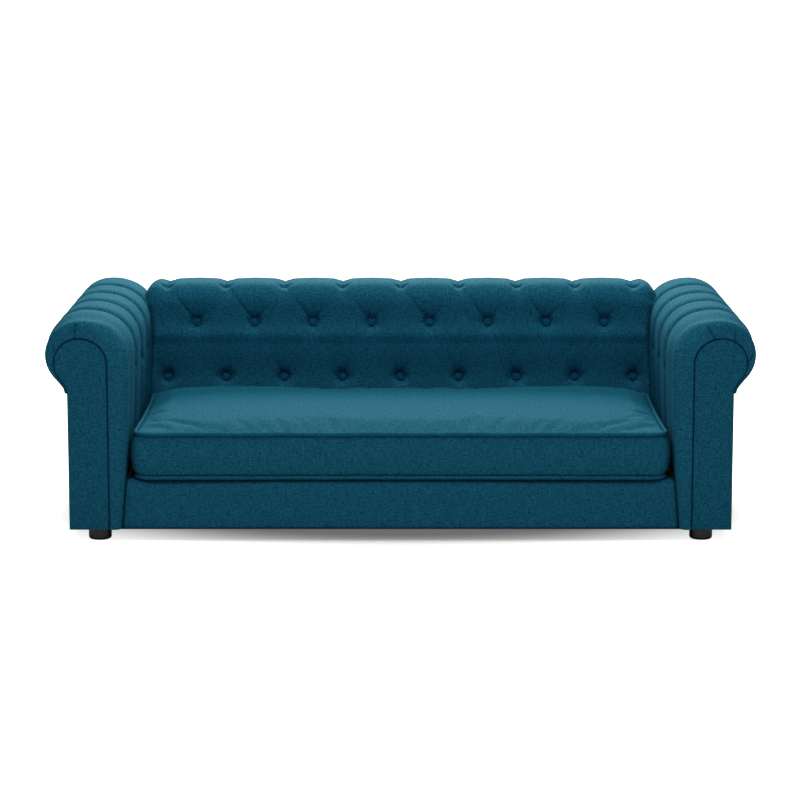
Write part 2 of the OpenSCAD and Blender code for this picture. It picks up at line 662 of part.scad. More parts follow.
// Base between the arms
cover_zs = [for (i = [0 : 4]) mix(frame_z, seat_z, i / 4)];
rail_half = arm_side_x(seat_z) - soft_fit;
module base_front_rail() {
    color(timber) block([-rail_half, base_y0, frame_z], [rail_half, base_y1, deck_top]);
}
module base_rear_rail() {
    half = arm_in_x - side_rail_w;
    color(timber) block([-half, y_out - skin_t - panel_t - timber_t, frame_z],
                        [half, y_out - skin_t - panel_t, rail_top]);
}
module base_side_rails() {
    color(timber) both() difference() {
        block([arm_in_x - side_rail_w, base_y1, frame_z], [arm_in_x, y_out - skin_t - panel_t, rail_top]);
        arm_bolt_spots() cylinder(r = bolt_r + hole_fit, h = side_rail_w * 2, $fn = round_n);
    }
}
module base_cross_rails() {
    color(timber) both() block([cross_rail_x - timber_t / 2, base_y1, frame_z],
                               [cross_rail_x + timber_t / 2, y_out - skin_t - panel_t - timber_t, rail_top]);
}
module corner_braces() {
    x = arm_in_x - side_rail_w;
    y1 = y_out - skin_t - panel_t - timber_t;
    z = frame_z + (base_rail_h - timber_t) / 2;
    color(timber) both() {
        translate([0, 0, z]) linear_extrude(timber_t)
            polygon([[x, base_y1], [x - brace_leg, base_y1], [x, base_y1 + brace_leg]]);
        translate([0, 0, z]) linear_extrude(timber_t)
            polygon([[x, y1], [x, y1 - brace_leg], [x - brace_leg, y1]]);
    }
}
module seat_deck() {
    color(plywood) difference() {
        block([-arm_in_x, base_y1, rail_top], [arm_in_x, y_out - skin_t - panel_t, deck_top]);
        back_bolt_spots() cylinder(r = bolt_r + hole_fit, h = base_rail_h * 2, $fn = round_n);
    }
}
module deck_pad() {
    color(felt) block([-arm_in_x + soft_fit, base_y1, deck_top],
                      [arm_in_x - soft_fit, post_seat_y - panel_t - soft_fit, seat_z]);
}
module front_rail_cover() {
    y0 = base_y0 - rail_pad_t;
    section = concat([[y0, frame_z]],
                     arc(y0 + rail_edge_r, seat_z - rail_edge_r, rail_edge_r, rail_edge_r, 180, 90, 8),
                     [[base_y1, seat_z], [base_y1, deck_top], [base_y0, deck_top], [base_y0, frame_z]]);
    ends = [for (z = cover_zs) [arm_side_x(z) - soft_fit, z]];
    far = [for (i = [len(ends) - 1 : -1 : 0]) [-ends[i][0], ends[i][1]]];
    color(fabric) intersection() {
        along_x(-arm_x, 2 * arm_x) polygon(section);
        along_y(y0 - cut, base_y1 - y0 + 2 * cut) polygon(concat(ends, far));
    }
}
module dust_cover() {
    color(black) difference() {
        block([-arm_x + panel_t, arm_board_y0, foot_h], [arm_x - panel_t, arm_rear_y1, frame_z]);
        both() foot_spots_right() translate([0, 0, foot_h - cut])
            cylinder(r = screw_r + hole_fit, h = dust_t + 2 * cut, $fn = round_n);
    }
}

// Bolts along x from the base's side rail into the arm's sill rail
arm_bolt_z = mix(arm_bottom_z, sill_top, 0.5);
module arm_bolt_spots() {
    for (y = [base_y1 + arm_bolt_inset, y_out - skin_t - panel_t - timber_t - arm_bolt_inset])
        translate([arm_in_x - side_rail_w - bolt_head_h - cut, y, arm_bolt_z]) rotate([0, 90, 0]) children();
}
bolt_grip = side_rail_w + panel_t + timber_t;
module flange_bolt(grip) {
    rotate_extrude($fn = round_n) polygon([
        [0, -bolt_head_h], [bolt_head_r * 0.7, -bolt_head_h], [bolt_head_r * 0.7, -bolt_head_h * 0.35],
        [bolt_head_r, -bolt_head_h * 0.35], [bolt_head_r, 0], [bolt_r, 0],
        [bolt_r, grip + bolt_head_h + bolt_end], [0, grip + bolt_head_h + bolt_end]]);
}
module nut() {
    difference() {
        cylinder(r = bolt_head_r, h = bolt_head_h, $fn = 6);
        translate([0, 0, -cut]) cylinder(r = bolt_r + hole_fit, h = bolt_head_h + 2 * cut, $fn = round_n);
    }
}
module module_bolts() {
    color(steel) both() arm_bolt_spots() translate([0, 0, bolt_head_h + cut]) flange_bolt(bolt_grip);
}
module module_nuts() {
    color(steel) both() arm_bolt_spots() translate([0, 0, bolt_head_h + cut + bolt_grip]) nut();
}
module back_bolt_spots() {
    for (x = [-back_bolt_x, 0, back_bolt_x])
        translate([x, back_bottom_rail_y + timber_t / 2, rail_top - cut]) children();
}
module back_bolts() {
    color(steel) back_bolt_spots() translate([0, 0, cut]) {
        flange_bolt(deck_t + back_rail_h);
        translate([0, 0, deck_t + back_rail_h]) nut();
    }
}

// Feet under the arm's bottom board
module foot_spots_right() {
    for (y = [y_front + foot_inset, y_out - foot_inset])
        translate([arm_x - foot_side_inset, y, 0]) children();
}
module foot_at(y) {
    color(black) translate([arm_x - foot_side_inset, y, 0]) rotate_extrude($fn = round_n) polygon(concat(
        [[foot_recess_r, 0]],
        arc(foot_r - foot_edge_r, foot_edge_r, foot_edge_r, foot_edge_r, -90, 0, 5),
        [[foot_r, foot_h], [screw_r + hole_fit, foot_h], [screw_r + hole_fit, foot_recess_d],
         [foot_recess_r, foot_recess_d]]));
}
module foot_front() {
    foot_at(y_front + foot_inset);
}
module foot_rear() {
    foot_at(y_out - foot_inset);
}
module foot_screws() {
    color(steel) both() foot_spots_right() translate([0, 0, foot_recess_d]) rotate_extrude($fn = round_n)
        polygon([[0, -screw_head_h], [screw_head_r, -screw_head_h], [screw_head_r, 0], [screw_r, 0],
                 [screw_r, arm_bottom_z - foot_recess_d - cut], [0, arm_bottom_z - foot_recess_d - cut]]);
}

// Frame of the back: rails along x, let into posts that stand on the deck
back_rail_h = 40;
back_bottom_rail_y = post_face_y(deck_top + back_rail_h);
back_rail_half = back_end(arm_bulge_z) - skin_t;
post_xs = [-1, -1 / 3, 1 / 3, 1] * (back_rail_half - post_inset);
module back_rail_outlines() {
    translate([back_head_y - back_head_r * 0.56, back_head_z + back_head_r * 0.72 - timber_t])
        square([back_head_r * 1.12, timber_t]);
    translate([back_head_y + back_head_r * 0.82 - timber_t, back_head_z - back_head_r * 0.44])
        square([timber_t, back_head_r * 0.67]);
    translate([post_face_y(back_head_z - back_head_r * 0.2), back_head_z - back_head_r * 0.2 - back_rail_h])
        square([timber_t, back_rail_h]);
    translate([back_bottom_rail_y, deck_top]) square([timber_t, back_rail_h]);
}
module back_rails() {
    color(timber) difference() {
        along_x(-back_rail_half, 2 * back_rail_half) back_rail_outlines();
        back_bolt_spots() cylinder(r = bolt_r + hole_fit, h = base_rail_h * 2, $fn = round_n);
    }
}
module back_post_outline() {
    y1 = y_out - skin_t - panel_t;
    difference() {
        polygon(concat([[y_out, deck_top]], keyhole_top(back_key, 0, back_head_n, back_angles),
                       [[post_seat_y, deck_top]]));
        translate([y1, deck_top - cut]) square([y_out - y1 + cut, back_throat_z - deck_top + cut]);
        back_rail_outlines();
    }
}
module back_posts() {
    color(timber) for (x = post_xs) along_x(x - timber_t / 2, timber_t) back_post_outline();
}
module back_panel() {
    color(hardboard) along_x(-back_rail_half, 2 * back_rail_half) polygon([
        [post_seat_y - panel_t, deck_top], [post_seat_y, deck_top],
        [post_bulge_y, back_head_z], [post_bulge_y - panel_t, back_head_z]]);
}
module back_pad() {
    n = len(back_outer);
    deep = [for (s = back_xs) [for (c = back_outer)
        s[0] == 0 ? c[3] * tuft(s[1] / back_pitch, c[2]) : 0]];
    outer = [for (i = [len(back_xs) - 1 : -1 : 0]) for (j = [0 : n - 1])
        let (s = back_xs[i], p = pressed(back_outer[j], back_inner[j], deep[i][j] + s[2]))
        [back_station_x(s, p[1]), p[0], p[1]]];
    ends = [for (i = [len(back_xs) - 1, 0]) for (j = [0 : n - 1])
        [back_station_x(back_xs[i], back_inner[j][1]), back_inner[j][0], back_inner[j][1]]];
    color(fabric) polyhedron(concat(outer, ends), shell_faces(len(back_xs), n, deep));
}
module back_outer_cover() {
    y0 = y_out - skin_t - panel_t;
    step = [[arm_in_x, frame_z], [arm_in_x, seat_z - soft_fit], [back_end(seat_z), seat_z - soft_fit],
            [back_end(arm_row_z), back_throat_z]];
    far = [for (i = [len(step) - 1 : -1 : 0]) [-step[i][0], step[i][1]]];
    color(fabric) along_y(y0, y_out - y0) polygon(concat(step, far));
}

// Fabric that closes the ends of the back, bent to follow the arms beside it
module back_end_covers() {
    zs = [for (i = [0 : 12]) mix(deck_top, sofa_h, i / 12)];
    y1 = y_out - skin_t - panel_t;
    color(fabric) both() intersection() {
        along_x(0, arm_x) difference() {
            polygon(concat([[y_out, deck_top]], keyhole_top(back_key, panel_t, back_head_n, back_angles),
                           [[post_seat_y - panel_t, deck_top]]));
            translate([y1, deck_top - cut])
                square([skin_t + panel_t * 2 + cut, back_throat_z - deck_top + cut]);
        }
        along_y(back_seat_y, sofa_d) polygon(concat(
            [for (z = zs) [back_end(z), z]],
            [for (i = [len(zs) - 1 : -1 : 0]) [back_end(zs[i]) - skin_t, zs[i]]]));
    }
}

// Loose cushion
core_z0 = cushion_z + wrap_t;
module cushion_core_box(grow) {
    x1 = cushion_hx - wrap_t + grow;
    y1 = cushion_y1 - zip_recess - wrap_t / 2 + grow;
    block([-x1, cushion_y0 + wrap_t - grow, core_z0 - grow], [x1, y1, seam_z1 - wrap_t / 2 + grow]);
}
module cushion_core() {
    color(foam) cushion_core_box(0);
}
module cushion_cover() {
    n = len(cushion_rings[0]);
    middle = [[0, cushion_y, cushion_z], [0, cushion_y, crown_z([0, 0])]];
    points = concat([for (r = cushion_rings) each r], middle);
    color(fabric) difference() {
        polyhedron(points, ring_faces(len(cushion_rings), n));
        cushion_core_box(soft_fit);
    }
}
module cushion_piping_top() {
    color(fabric_dark) piping(seam_z1, 1);
}
module cushion_piping_bottom() {
    color(fabric_dark) piping(seam_z0, -1);
}

// Zip along the rear border
zip_travel = 2 * (cushion_hx - zip_end_inset);
zip_y = cushion_y1 - zip_recess + soft_fit;
zip_z = mix(seam_z0, seam_z1, 0.5);
chain_y = zip_y + tape_t;
chain_half = zip_travel / 2 + slider_l / 2 + rib_pitch;
module cushion_zip() {
    ribs = floor(2 * chain_half / rib_pitch);
    ripple = [for (i = [0 : ribs]) for (k = [0, 1, 2])
        [-chain_half + rib_pitch * (i + k / 3), chain_y + chain_t - (k == 2 ? rib_cut : 0)]];
    last_x = -chain_half + rib_pitch * (ribs + 2 / 3);
    tape_half = chain_half + tape_w / 2;
    color(black) {
        block([-tape_half, zip_y, zip_z - tape_w / 2], [tape_half, chain_y, zip_z + tape_w / 2]);
        translate([0, 0, zip_z - chain_w / 2]) linear_extrude(chain_w)
            polygon(concat([[-chain_half, chain_y - tape_t / 2]], ripple, [[last_x, chain_y - tape_t / 2]]));
    }
}
slider_x = -zip_travel / 2;
slider_y0 = chain_y + slider_fit;
slider_y1 = chain_y + chain_t + slider_fit + slider_t;
stud_y = slider_y1 + pull_t + 2 * slider_fit;
module zip_slider() {
    h = slider_w / 2;
    l = slider_l / 2;
    color(steel) translate([slider_x, 0, zip_z]) {
        difference() {
            along_y(slider_y0, slider_y1 - slider_y0)
                polygon([[-l, -h * 0.8], [-l * 0.2, -h], [l, -h], [l, h], [-l * 0.2, h], [-l, h * 0.8]]);
            block([-l - cut, slider_y0 - cut, -chain_w / 2 - slider_fit],
                  [l + cut, chain_y + chain_t + slider_fit, chain_w / 2 + slider_fit]);
        }
        translate([0, slider_y1, 0]) rotate([-90, 0, 0]) {
            cylinder(r = stud_r, h = stud_y - slider_y1 + tape_t, $fn = round_n);
            translate([0, 0, stud_y - slider_y1]) cylinder(r = stud_r * 1.7, h = tape_t, $fn = round_n);
        }
    }
}
module zip_pull() {
    r = pull_w / 2;
    color(steel) translate([slider_x, slider_y1 + slider_fit, zip_z]) rotate([-90, 0, 0]) difference() {
        union() {
            cylinder(r = r, h = pull_t, $fn = round_n);
            linear_extrude(pull_t)
                polygon([[-r, 0], [r, 0], [r * 0.6, pull_l * 0.85], [-r * 0.6, pull_l * 0.85]]);
            translate([0, pull_l * 0.85, 0]) cylinder(r = r * 0.6, h = pull_t, $fn = round_n);
        }
        translate([0, 0, -cut]) cylinder(r = stud_r + eye_fit, h = pull_t + 2 * cut, $fn = round_n);
    }
}

base_front_rail();
base_rear_rail();
base_side_rails();
base_cross_rails();
corner_braces();
seat_deck();
deck_pad();
front_rail_cover();
dust_cover();
module_bolts();
module_nuts();
left() arm_front_board();  // arm_front_board_left
arm_front_board();  // arm_front_board_right
left() arm_rear_board();  // arm_rear_board_left
arm_rear_board();  // arm_rear_board_right
left() arm_bottom_board();  // arm_bottom_board_left
arm_bottom_board();  // arm_bottom_board_right
left() arm_rails();  // arm_rails_left
arm_rails();  // arm_rails_right
left() arm_inner_panel();  // arm_inner_panel_left
arm_inner_panel();  // arm_inner_panel_right
left() arm_outer_panel();  // arm_outer_panel_left
arm_outer_panel();  // arm_outer_panel_right
left() arm_outer_cover();  // arm_outer_cover_left
arm_outer_cover();  // arm_outer_cover_right
left() arm_pad();  // arm_pad_left
arm_pad();  // arm_pad_right
left() arm_facing();  // arm_facing_left
arm_facing();  // arm_facing_right
left() arm_rear_cover();  // arm_rear_cover_left
arm_rear_cover();  // arm_rear_cover_right
left() arm_buttons();  // arm_buttons_left
arm_buttons();  // arm_buttons_right
left() foot_front();  // foot_front_left
foot_front();  // foot_front_right
left() foot_rear();  // foot_rear_left
foot_rear();  // foot_rear_right
foot_screws();
back_posts();
back_rails();
back_panel();
back_pad();
back_buttons_lower();
back_buttons_upper();
back_outer_cover();
back_end_covers();
back_bolts();
cushion_core();
cushion_cover();
cushion_piping_top();
cushion_piping_bottom();
cushion_zip();
zip_slider();
zip_pull();
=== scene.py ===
import json
import math
import bpy
import numpy as np
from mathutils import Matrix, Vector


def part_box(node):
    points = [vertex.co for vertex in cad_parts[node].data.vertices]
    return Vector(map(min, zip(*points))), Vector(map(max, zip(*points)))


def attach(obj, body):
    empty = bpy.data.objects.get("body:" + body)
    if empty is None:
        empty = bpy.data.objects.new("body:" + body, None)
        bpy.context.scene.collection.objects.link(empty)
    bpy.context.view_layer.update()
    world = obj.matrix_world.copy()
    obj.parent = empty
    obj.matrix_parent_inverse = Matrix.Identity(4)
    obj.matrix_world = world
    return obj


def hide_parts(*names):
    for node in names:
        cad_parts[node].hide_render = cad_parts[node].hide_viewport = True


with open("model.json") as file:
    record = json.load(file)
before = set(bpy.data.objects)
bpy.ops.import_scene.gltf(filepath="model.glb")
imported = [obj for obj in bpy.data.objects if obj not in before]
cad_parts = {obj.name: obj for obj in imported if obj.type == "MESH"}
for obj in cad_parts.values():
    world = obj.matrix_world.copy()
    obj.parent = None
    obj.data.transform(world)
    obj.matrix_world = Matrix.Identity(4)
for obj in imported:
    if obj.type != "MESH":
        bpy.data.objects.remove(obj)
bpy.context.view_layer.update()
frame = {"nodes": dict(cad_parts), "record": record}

# Sizes below are in millimetres, and MM turns them into the metres of Blender's meshes
MM = 0.001

# The sofa, from the same sizes as its frame
FRONT_Y, REAR_Y = -275.0, 240.0
FLOOR_EDGE_Z = 20.0
SEAT_Z = 97.0
THROAT_Z = 236.0
# Where the rolls' cloth turns in to the throat, in degrees from level, and how far out its lip stands
LIP_ANGLE, LIP_OUT = -55.0, 1.5

# The arms: flat side, roll, bulge of the inner side, and head of the keyhole boards
ARM_SIDE_X = 518.5
ARM_ROLL_X, ARM_ROLL_Z, ARM_ROLL_R = 497.0, 295.0, 53.0
ARM_BULGE_Z, ARM_BULGE_W, ARM_BULGE_H = 278.0, 73.0, 70.0
ARM_BULGE_RUN = 112.4
ARM_DRAWBACK = 13.5
ARM_HEAD_X, ARM_HEAD_Z, ARM_HEAD_R, ARM_HEAD_IN = 499.0, 283.0, 39.0, 43.0
ARM_REAR_EDGE = 9.0
FACING_REAR_Y = FRONT_Y + 7.7

# The front band round the facing: where it lies, and how deep it turns in at the seam
BAND_Y = FRONT_Y + 0.3
BAND_SEAM, BAND_SWELL = 7.3, 0.9
# Below the seat, only this band of the arm's padding goes on down, and it ends here
BAND_REAR_Y = -240.5

# The creases over an arm, and where each fold between two of them is highest
ARM_CREASES = [-150.0, -52.0, 46.0, 144.0, 242.0]
CREST_AT = 0.6
# How deep the creases are and how proud the folds stand, on the roll and below the buttons
CREASE_DEPTH, CREASE_DEPTH_LOW = 19.0, 20.0
FOLD_PROUD, FOLD_PROUD_LOW = 5.0, 3.5
ARM_BUTTONS = ARM_CREASES[:3]
ARM_BUTTON_Z = 255.0
ARM_TUFT_DEPTH = 21.0
# Darts that take up the fulness of the front band: [direction round the arm's head, share of the band
# where it starts and ends, depth]
ARM_DARTS = {
    1: [(107, 0, 0.85, 1.0), (62, 0, 0.8, 0.8), (5, 0, 0.75, 0.9), (157, 0.5, 0.72, 0.6),
        (161, 0.55, 0.78, 0.6)],
    -1: [(80, 0, 0.9, 1.0), (28, 0.1, 0.6, 0.7), (121, 0.1, 0.4, 0.5), (150, 0.4, 0.6, 0.3)]}
HANDS = {1: "right", -1: "left"}

# The back: roll, bulge, front face, and its two rows of buttons
BACK_ROLL_Y, BACK_ROLL_Z, BACK_ROLL_R = 222.0, 297.0, 53.0
BACK_BULGE_D, BACK_BULGE_H, BACK_BULGE_Z = 72.0, 67.0, 283.0
BACK_FRONT_Y, BACK_SEAT_Y, BACK_BELLY = 150.0, 119.5, 3.0
BACK_SQUARE = 5.0
BACK_END_X, BACK_END_GAP, BACK_CORNER_Z = 436.0, 3.0, 285.0
BACK_PITCH = 99.0
BACK_UPPERS = (np.arange(-4, 4) + 0.5) * BACK_PITCH
BACK_LOWERS = np.arange(-4, 5) * BACK_PITCH
BACK_UP_Z, BACK_LOW_Z = BACK_BULGE_Z + 4, 196.0
BACK_PIT_Y, BACK_PIT_DEPTH = 177.0, 17.0
BACK_TUFT_DEPTH = 11.5

# The front rail's cover: how its upper edge is rounded, and how it ends beside the arms
RAIL_EDGE_R = 14.0
RAIL_END_GAP, RAIL_END_TURN, RAIL_END_SINK = 0.5, 9, 6.0

BUTTON_R, BUTTON_H = 8.0, 5.5
# Thickness of the padded skins and of the flat cloths, and the height of the waves in them
SKIN, RAIL_SKIN = 4.0, 3.0
COVER_CLOTH, DUST_CLOTH = 1.2, 0.8
SLACK_WAVES = 0.5
# How far apart the rows of points lie, and how near two points are to be merged
ARM_STEP, BACK_STEP, RAIL_STEP = 1.8, 2.0, 2.5
MERGE_WITHIN = 0.02

# The loose cushion, with half its width and depth, and its piping
CUSHION_HX, CUSHION_HY, CUSHION_Y = 415.0, 187.2, -75.3
CUSHION_R = 24.0
SEAM_LOW, SEAM_HIGH, CUSHION_BOTTOM = 102.46, 168.46, 97.3
CROWN = 19.0
DRAW_IN = 3.0
FRONT_SWELL, END_SWELL, REAR_SINK = 2.4, 7.5, 3.4
PIPING_R, PIPING_OUT, PIPING_UP, PIPING_WOBBLE = 3.0, 1.7, 1.5, 0.25
# The furthest that the filling may push a point of the cover
FILL_PUSH = 6.0

# The camera, fitted to the photo, and the white room's light. Their places are in metres.
EYE, EYE_TILT = (-0.0008, -4.505, 0.961), 80.15
SENSOR, LENS = 36, 124.45
ROOM_LIGHT = 0.14
# Softboxes: name, place, how far each is tipped in degrees, size, watts and tint
SOFTBOXES = [
    ("rear_softbox", (0, 2.3, 1.75), -56, (1.7, 1.1), 118, (0.92, 0.95, 0.74)),
    ("overhead_softbox", (0, -0.1, 2.6), 0, (1.6, 1.0), 31, (0.97, 0.97, 0.68)),
    ("high_front_softbox", (0, -1.7, 2.8), 33, (2.2, 1.2), 29, (0.95, 0.98, 0.97))]


# Lines and falls

def smooth(v):
    """From 0 to 1 with soft ends."""
    v = np.clip(v, 0, 1)
    return v * v * (3 - 2 * v)


def bump(distance, reach, power=2.0):
    """1 at no distance, falling away past the reach."""
    return np.exp(-np.abs(distance / reach) ** power)


def wrinkle(across, along, length, width, lean):
    """A slack wrinkle, 1 on its crest, drawn out along one direction and leaning from it."""
    c, s = math.cos(lean), math.sin(lean)
    return bump(along * c + across * s, length) * bump(across * c - along * s, width)


def arc(cx, cz, rx, rz, a0, a1, n):
    a = np.radians(np.linspace(a0, a1, n))
    return np.stack([cx + rx * np.cos(a), cz + rz * np.sin(a)], 1)


def way_along(line):
    """How far along a line each of its points lies."""
    return np.concatenate([[0], np.cumsum(np.linalg.norm(np.diff(line, axis=0), axis=1))])


def places_at(s, run, line):
    """Places at the distances s along a line, whose own points lie at the distances run."""
    return np.stack([np.interp(s, run, line[:, k]) for k in (0, 1)], 1)


def way_at(s, places, wanted, allowed):
    """How far along a line its place nearest to the wanted one lies, among the allowed points."""
    return s[np.argmin(np.abs(places - wanted) + 1000 * ~allowed)]


def outward(line):
    """Unit directions square to a line at each of its points."""
    t = np.gradient(line, axis=0)
    t /= np.linalg.norm(t, axis=1)[:, None]
    return np.stack([t[:, 1], -t[:, 0]], 1)


def evenly(line, *others, step):
    """Points a step apart on a line, with the places of other lines at the same share, and the
    outward directions and distances along it."""
    run = way_along(line)
    s = np.linspace(0, run[-1], int(round(run[-1] / step)) + 1)
    found = [places_at(s, run, c) for c in (line, *others)]
    return found, outward(found[0]), s


def shares_across(count, half, ends, clear):
    """Places across a piece as shares from -1 to 1, even in the middle and, within the clear distance
    of both ends, at the given distances from them."""
    ends = 1 - np.array(ends) / half
    middle = np.linspace(-1, 1, count)
    middle = middle[np.abs(middle) < 1 - clear / half]
    return np.concatenate([-ends[::-1], middle, ends])[None, :]


# Making pieces

def select(*pieces):
    bpy.ops.object.select_all(action="DESELECT")
    for piece in pieces:
        piece.select_set(True)
    if pieces:
        bpy.context.view_layer.objects.active = pieces[0]


def finish_piece(piece, name, body, slot, replaces):
    piece.name = piece.data.name = name
    piece.data.materials.clear()
    piece.data.materials.append(FINISHES[slot])
    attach(piece, body)
    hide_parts(*replaces)


def points_of(piece):
    """A piece's points in mm."""
    co = np.empty(len(piece.data.vertices) * 3)
    piece.data.vertices.foreach_get("co", co)
    return co.reshape(-1, 3) / MM


def place_points(piece, points):
    piece.data.vertices.foreach_set("co", (points * MM).astype(np.float32).ravel())
    piece.data.update()


def lattice(points, flat, turn=False):
    """A sheet of cloth through rows and columns of points in mm. flat holds where each point lies on the
    cloth, also in mm. Its faces look along (down the columns) x (along the rows)."""
    rows, columns = points.shape[:2]
    select()
    bpy.ops.mesh.primitive_grid_add(x_subdivisions=columns - 1, y_subdivisions=rows - 1, size=1)
    piece = bpy.context.object
    mesh = piece.data
    place_points(piece, points)
    mesh.uv_layers[0].name = "cloth"
    corners = np.empty(len(mesh.loops), np.int32)
    mesh.loops.foreach_get("vertex_index", corners)
    uv = (flat * MM).reshape(-1, 2)[corners]
    mesh.uv_layers[0].data.foreach_set("uv", uv.astype(np.float32).ravel())
    if turn:
        mesh.flip_normals()
    mesh.update()
    return piece


def lattice_across(x, line, normal, s, relief):
    """A sheet of cloth that runs across the sofa and down a line in y and z, drawn in by the relief."""
    y = line[:, :1] - normal[:, :1] * relief
    z = line[:, 1:] - normal[:, 1:] * relief
    x, rows = np.broadcast_to(x, y.shape), np.broadcast_to(s[:, None], y.shape)
    return lattice(np.stack([x, y, z], 2), np.stack([x, rows], 2))


def edit(piece, *steps):
    select(piece)
    bpy.ops.object.mode_set(mode="EDIT")
    bpy.ops.mesh.select_all(action="SELECT")
    for step in steps:
        step()
    bpy.ops.object.mode_set(mode="OBJECT")


def merge_doubles(piece):
    edit(piece, lambda: bpy.ops.mesh.remove_doubles(threshold=MERGE_WITHIN * MM))


def join(first, *others):
    select(first, *others)
    bpy.ops.object.join()
    return first


def apply_modifier(piece, kind, **settings):
    select(piece)
    modifier = piece.modifiers.new(kind.title(), kind)
    for key, value in settings.items():
        setattr(modifier, key, value)
    bpy.ops.object.modifier_apply(modifier=modifier.name)


def thicken(piece, thickness):
    apply_modifier(piece, "SOLIDIFY", thickness=thickness * MM, offset=-1, use_quality_normals=True)


def smooth_shading(piece, angle):
    select(piece)
    bpy.ops.object.shade_smooth_by_angle(angle=math.radians(angle))


def cloth_map(piece):
    """Lays the cloth on a piece from the side that each face looks to, in metres."""
    mesh = piece.data
    layer = mesh.uv_layers.get("cloth") or mesh.uv_layers.new(name="cloth")
    for face in mesh.polygons:
        n = [abs(v) for v in face.normal]
        a, b = ((1, 2), (0, 2), (0, 1))[n.index(max(n))]
        for k in face.loop_indices:
            co = mesh.vertices[mesh.loops[k].vertex_index].co
            layer.data[k].uv = (co[a], co[b])
    for other in [m for m in mesh.uv_layers if m.name != "cloth"]:
        mesh.uv_layers.remove(other)


# Materials

def add(tree, kind, settings=None, **inputs):
    """A node with its settings, and each input linked or set. i0 and i1 are inputs without a name."""
    node = tree.nodes.new(kind)
    for key, value in (settings or {}).items():
        setattr(node, key, value)
    for key, value in inputs.items():
        key = key.replace("_", " ")
        socket = node.inputs[int(key[1:])] if key[0] == "i" and key[1:].isdigit() else node.inputs[key]
        if isinstance(value, bpy.types.NodeSocket):
            tree.links.new(value, socket)
        else:
            socket.default_value = value
    return node


def new_material(name):
    material = bpy.data.materials.new(name)
    material.use_nodes = True
    tree = material.node_tree
    return material, tree, tree.nodes["Principled BSDF"]


def ramp(tree, factor, stops):
    node = add(tree, "ShaderNodeValToRGB", Fac=factor)
    for element, (at, colour) in zip(node.color_ramp.elements, stops):
        element.position = at
        element.color = (*colour, 1)
    return node.outputs["Color"]


def maths(tree, operation, a, b):
    return add(tree, "ShaderNodeMath", {"operation": operation}, i0=a, i1=b).outputs[0]


def mixed(tree, first, share, second):
    """Two even patterns added together, the first with its share and the second with the rest."""
    return maths(tree, "ADD", maths(tree, "MULTIPLY", first, share),
                 maths(tree, "MULTIPLY", second, round(1 - share, 3)))


def coat(tree, skin, colour, height, strength, distance, roughness):
    """Puts a colour pattern, its relief and its roughness on a material."""
    relief = add(tree, "ShaderNodeBump", Strength=strength, Distance=distance, Height=height)
    tree.links.new(colour, skin.inputs["Base Color"])
    tree.links.new(relief.outputs[0], skin.inputs["Normal"])
    skin.inputs["Roughness"].default_value = roughness


def streaks(tree, where, across, along, detail=3.0, offset=0.0):
    """Uneven threads: noise drawn out along one direction of the cloth."""
    laid = add(tree, "ShaderNodeMapping", Vector=where, Scale=(across, along, 1),
               Location=(offset, offset, 0))
    return add(tree, "ShaderNodeTexNoise", {"noise_dimensions": "2D"}, Vector=laid.outputs[0],
               Scale=1.0, Detail=detail, Roughness=0.6).outputs["Fac"]


def threads(tree, where, direction, period=0.0011):
    """Even threads side by side, a period apart in metres."""
    return add(tree, "ShaderNodeTexWave", {"wave_type": "BANDS", "bands_direction": direction},
               Vector=where, Scale=2 * math.pi / (20 * period), Distortion=1.2, Detail=1.0,
               Detail_Scale=0.4).outputs["Fac"]


def petrol_cloth(name, deep, bright, shift=0.0):
    """Slubby linen-look weave: thick and thin threads both ways, lighter where they lie on top."""
    material, tree, skin = new_material(name)
    where = add(tree, "ShaderNodeUVMap", {"uv_map": "cloth"}).outputs["UV"]
    weft = streaks(tree, where, 60, 900, offset=3 + shift)
    warp = streaks(tree, where, 900, 60, offset=11 + shift)
    patch = streaks(tree, where, 220, 330, 2.0, offset=5 + shift)
    slub = mixed(tree, weft, 0.5, warp)
    colour = ramp(tree, mixed(tree, slub, 0.6, patch), [(0.38, deep), (0.62, bright)])
    weave = maths(tree, "MULTIPLY", threads(tree, where, "X"), threads(tree, where, "Y"))
    coat(tree, skin, colour, mixed(tree, slub, 0.7, weave), 0.55, 0.0007, 0.8)
    skin.inputs["Specular IOR Level"].default_value = 0.016
    return material


def sawn_wood(name, pale, dark, spread):
    """Timber or plywood, its grain drawn out along the direction of least spread."""
    material, tree, skin = new_material(name)
    where = add(tree, "ShaderNodeTexCoord").outputs["Object"]
    laid = add(tree, "ShaderNodeMapping", Vector=where, Scale=spread)
    grain = add(tree, "ShaderNodeTexNoise", Vector=laid.outputs[0], Scale=1.0, Detail=5.0,
                Roughness=0.6, Distortion=0.5).outputs["Fac"]
    coat(tree, skin, ramp(tree, grain, [(0.35, dark), (0.65, pale)]), grain, 0.3, 0.0004, 0.7)
    return material


def speckled(name, low, high, scale, roughness, metallic=0.0, depth=0.0002, strength=0.25):
    """Moulded, cast, foamed or felted stuff: a fine even grain all through."""
    material, tree, skin = new_material(name)
    where = add(tree, "ShaderNodeTexCoord").outputs["Object"]
    grain = add(tree, "ShaderNodeTexNoise", Vector=where, Scale=scale, Detail=4.0,
                Roughness=0.6).outputs["Fac"]
    coat(tree, skin, ramp(tree, grain, [(0.3, low), (0.7, high)]), grain, strength, depth, roughness)
    skin.inputs["Metallic"].default_value = metallic
    return material


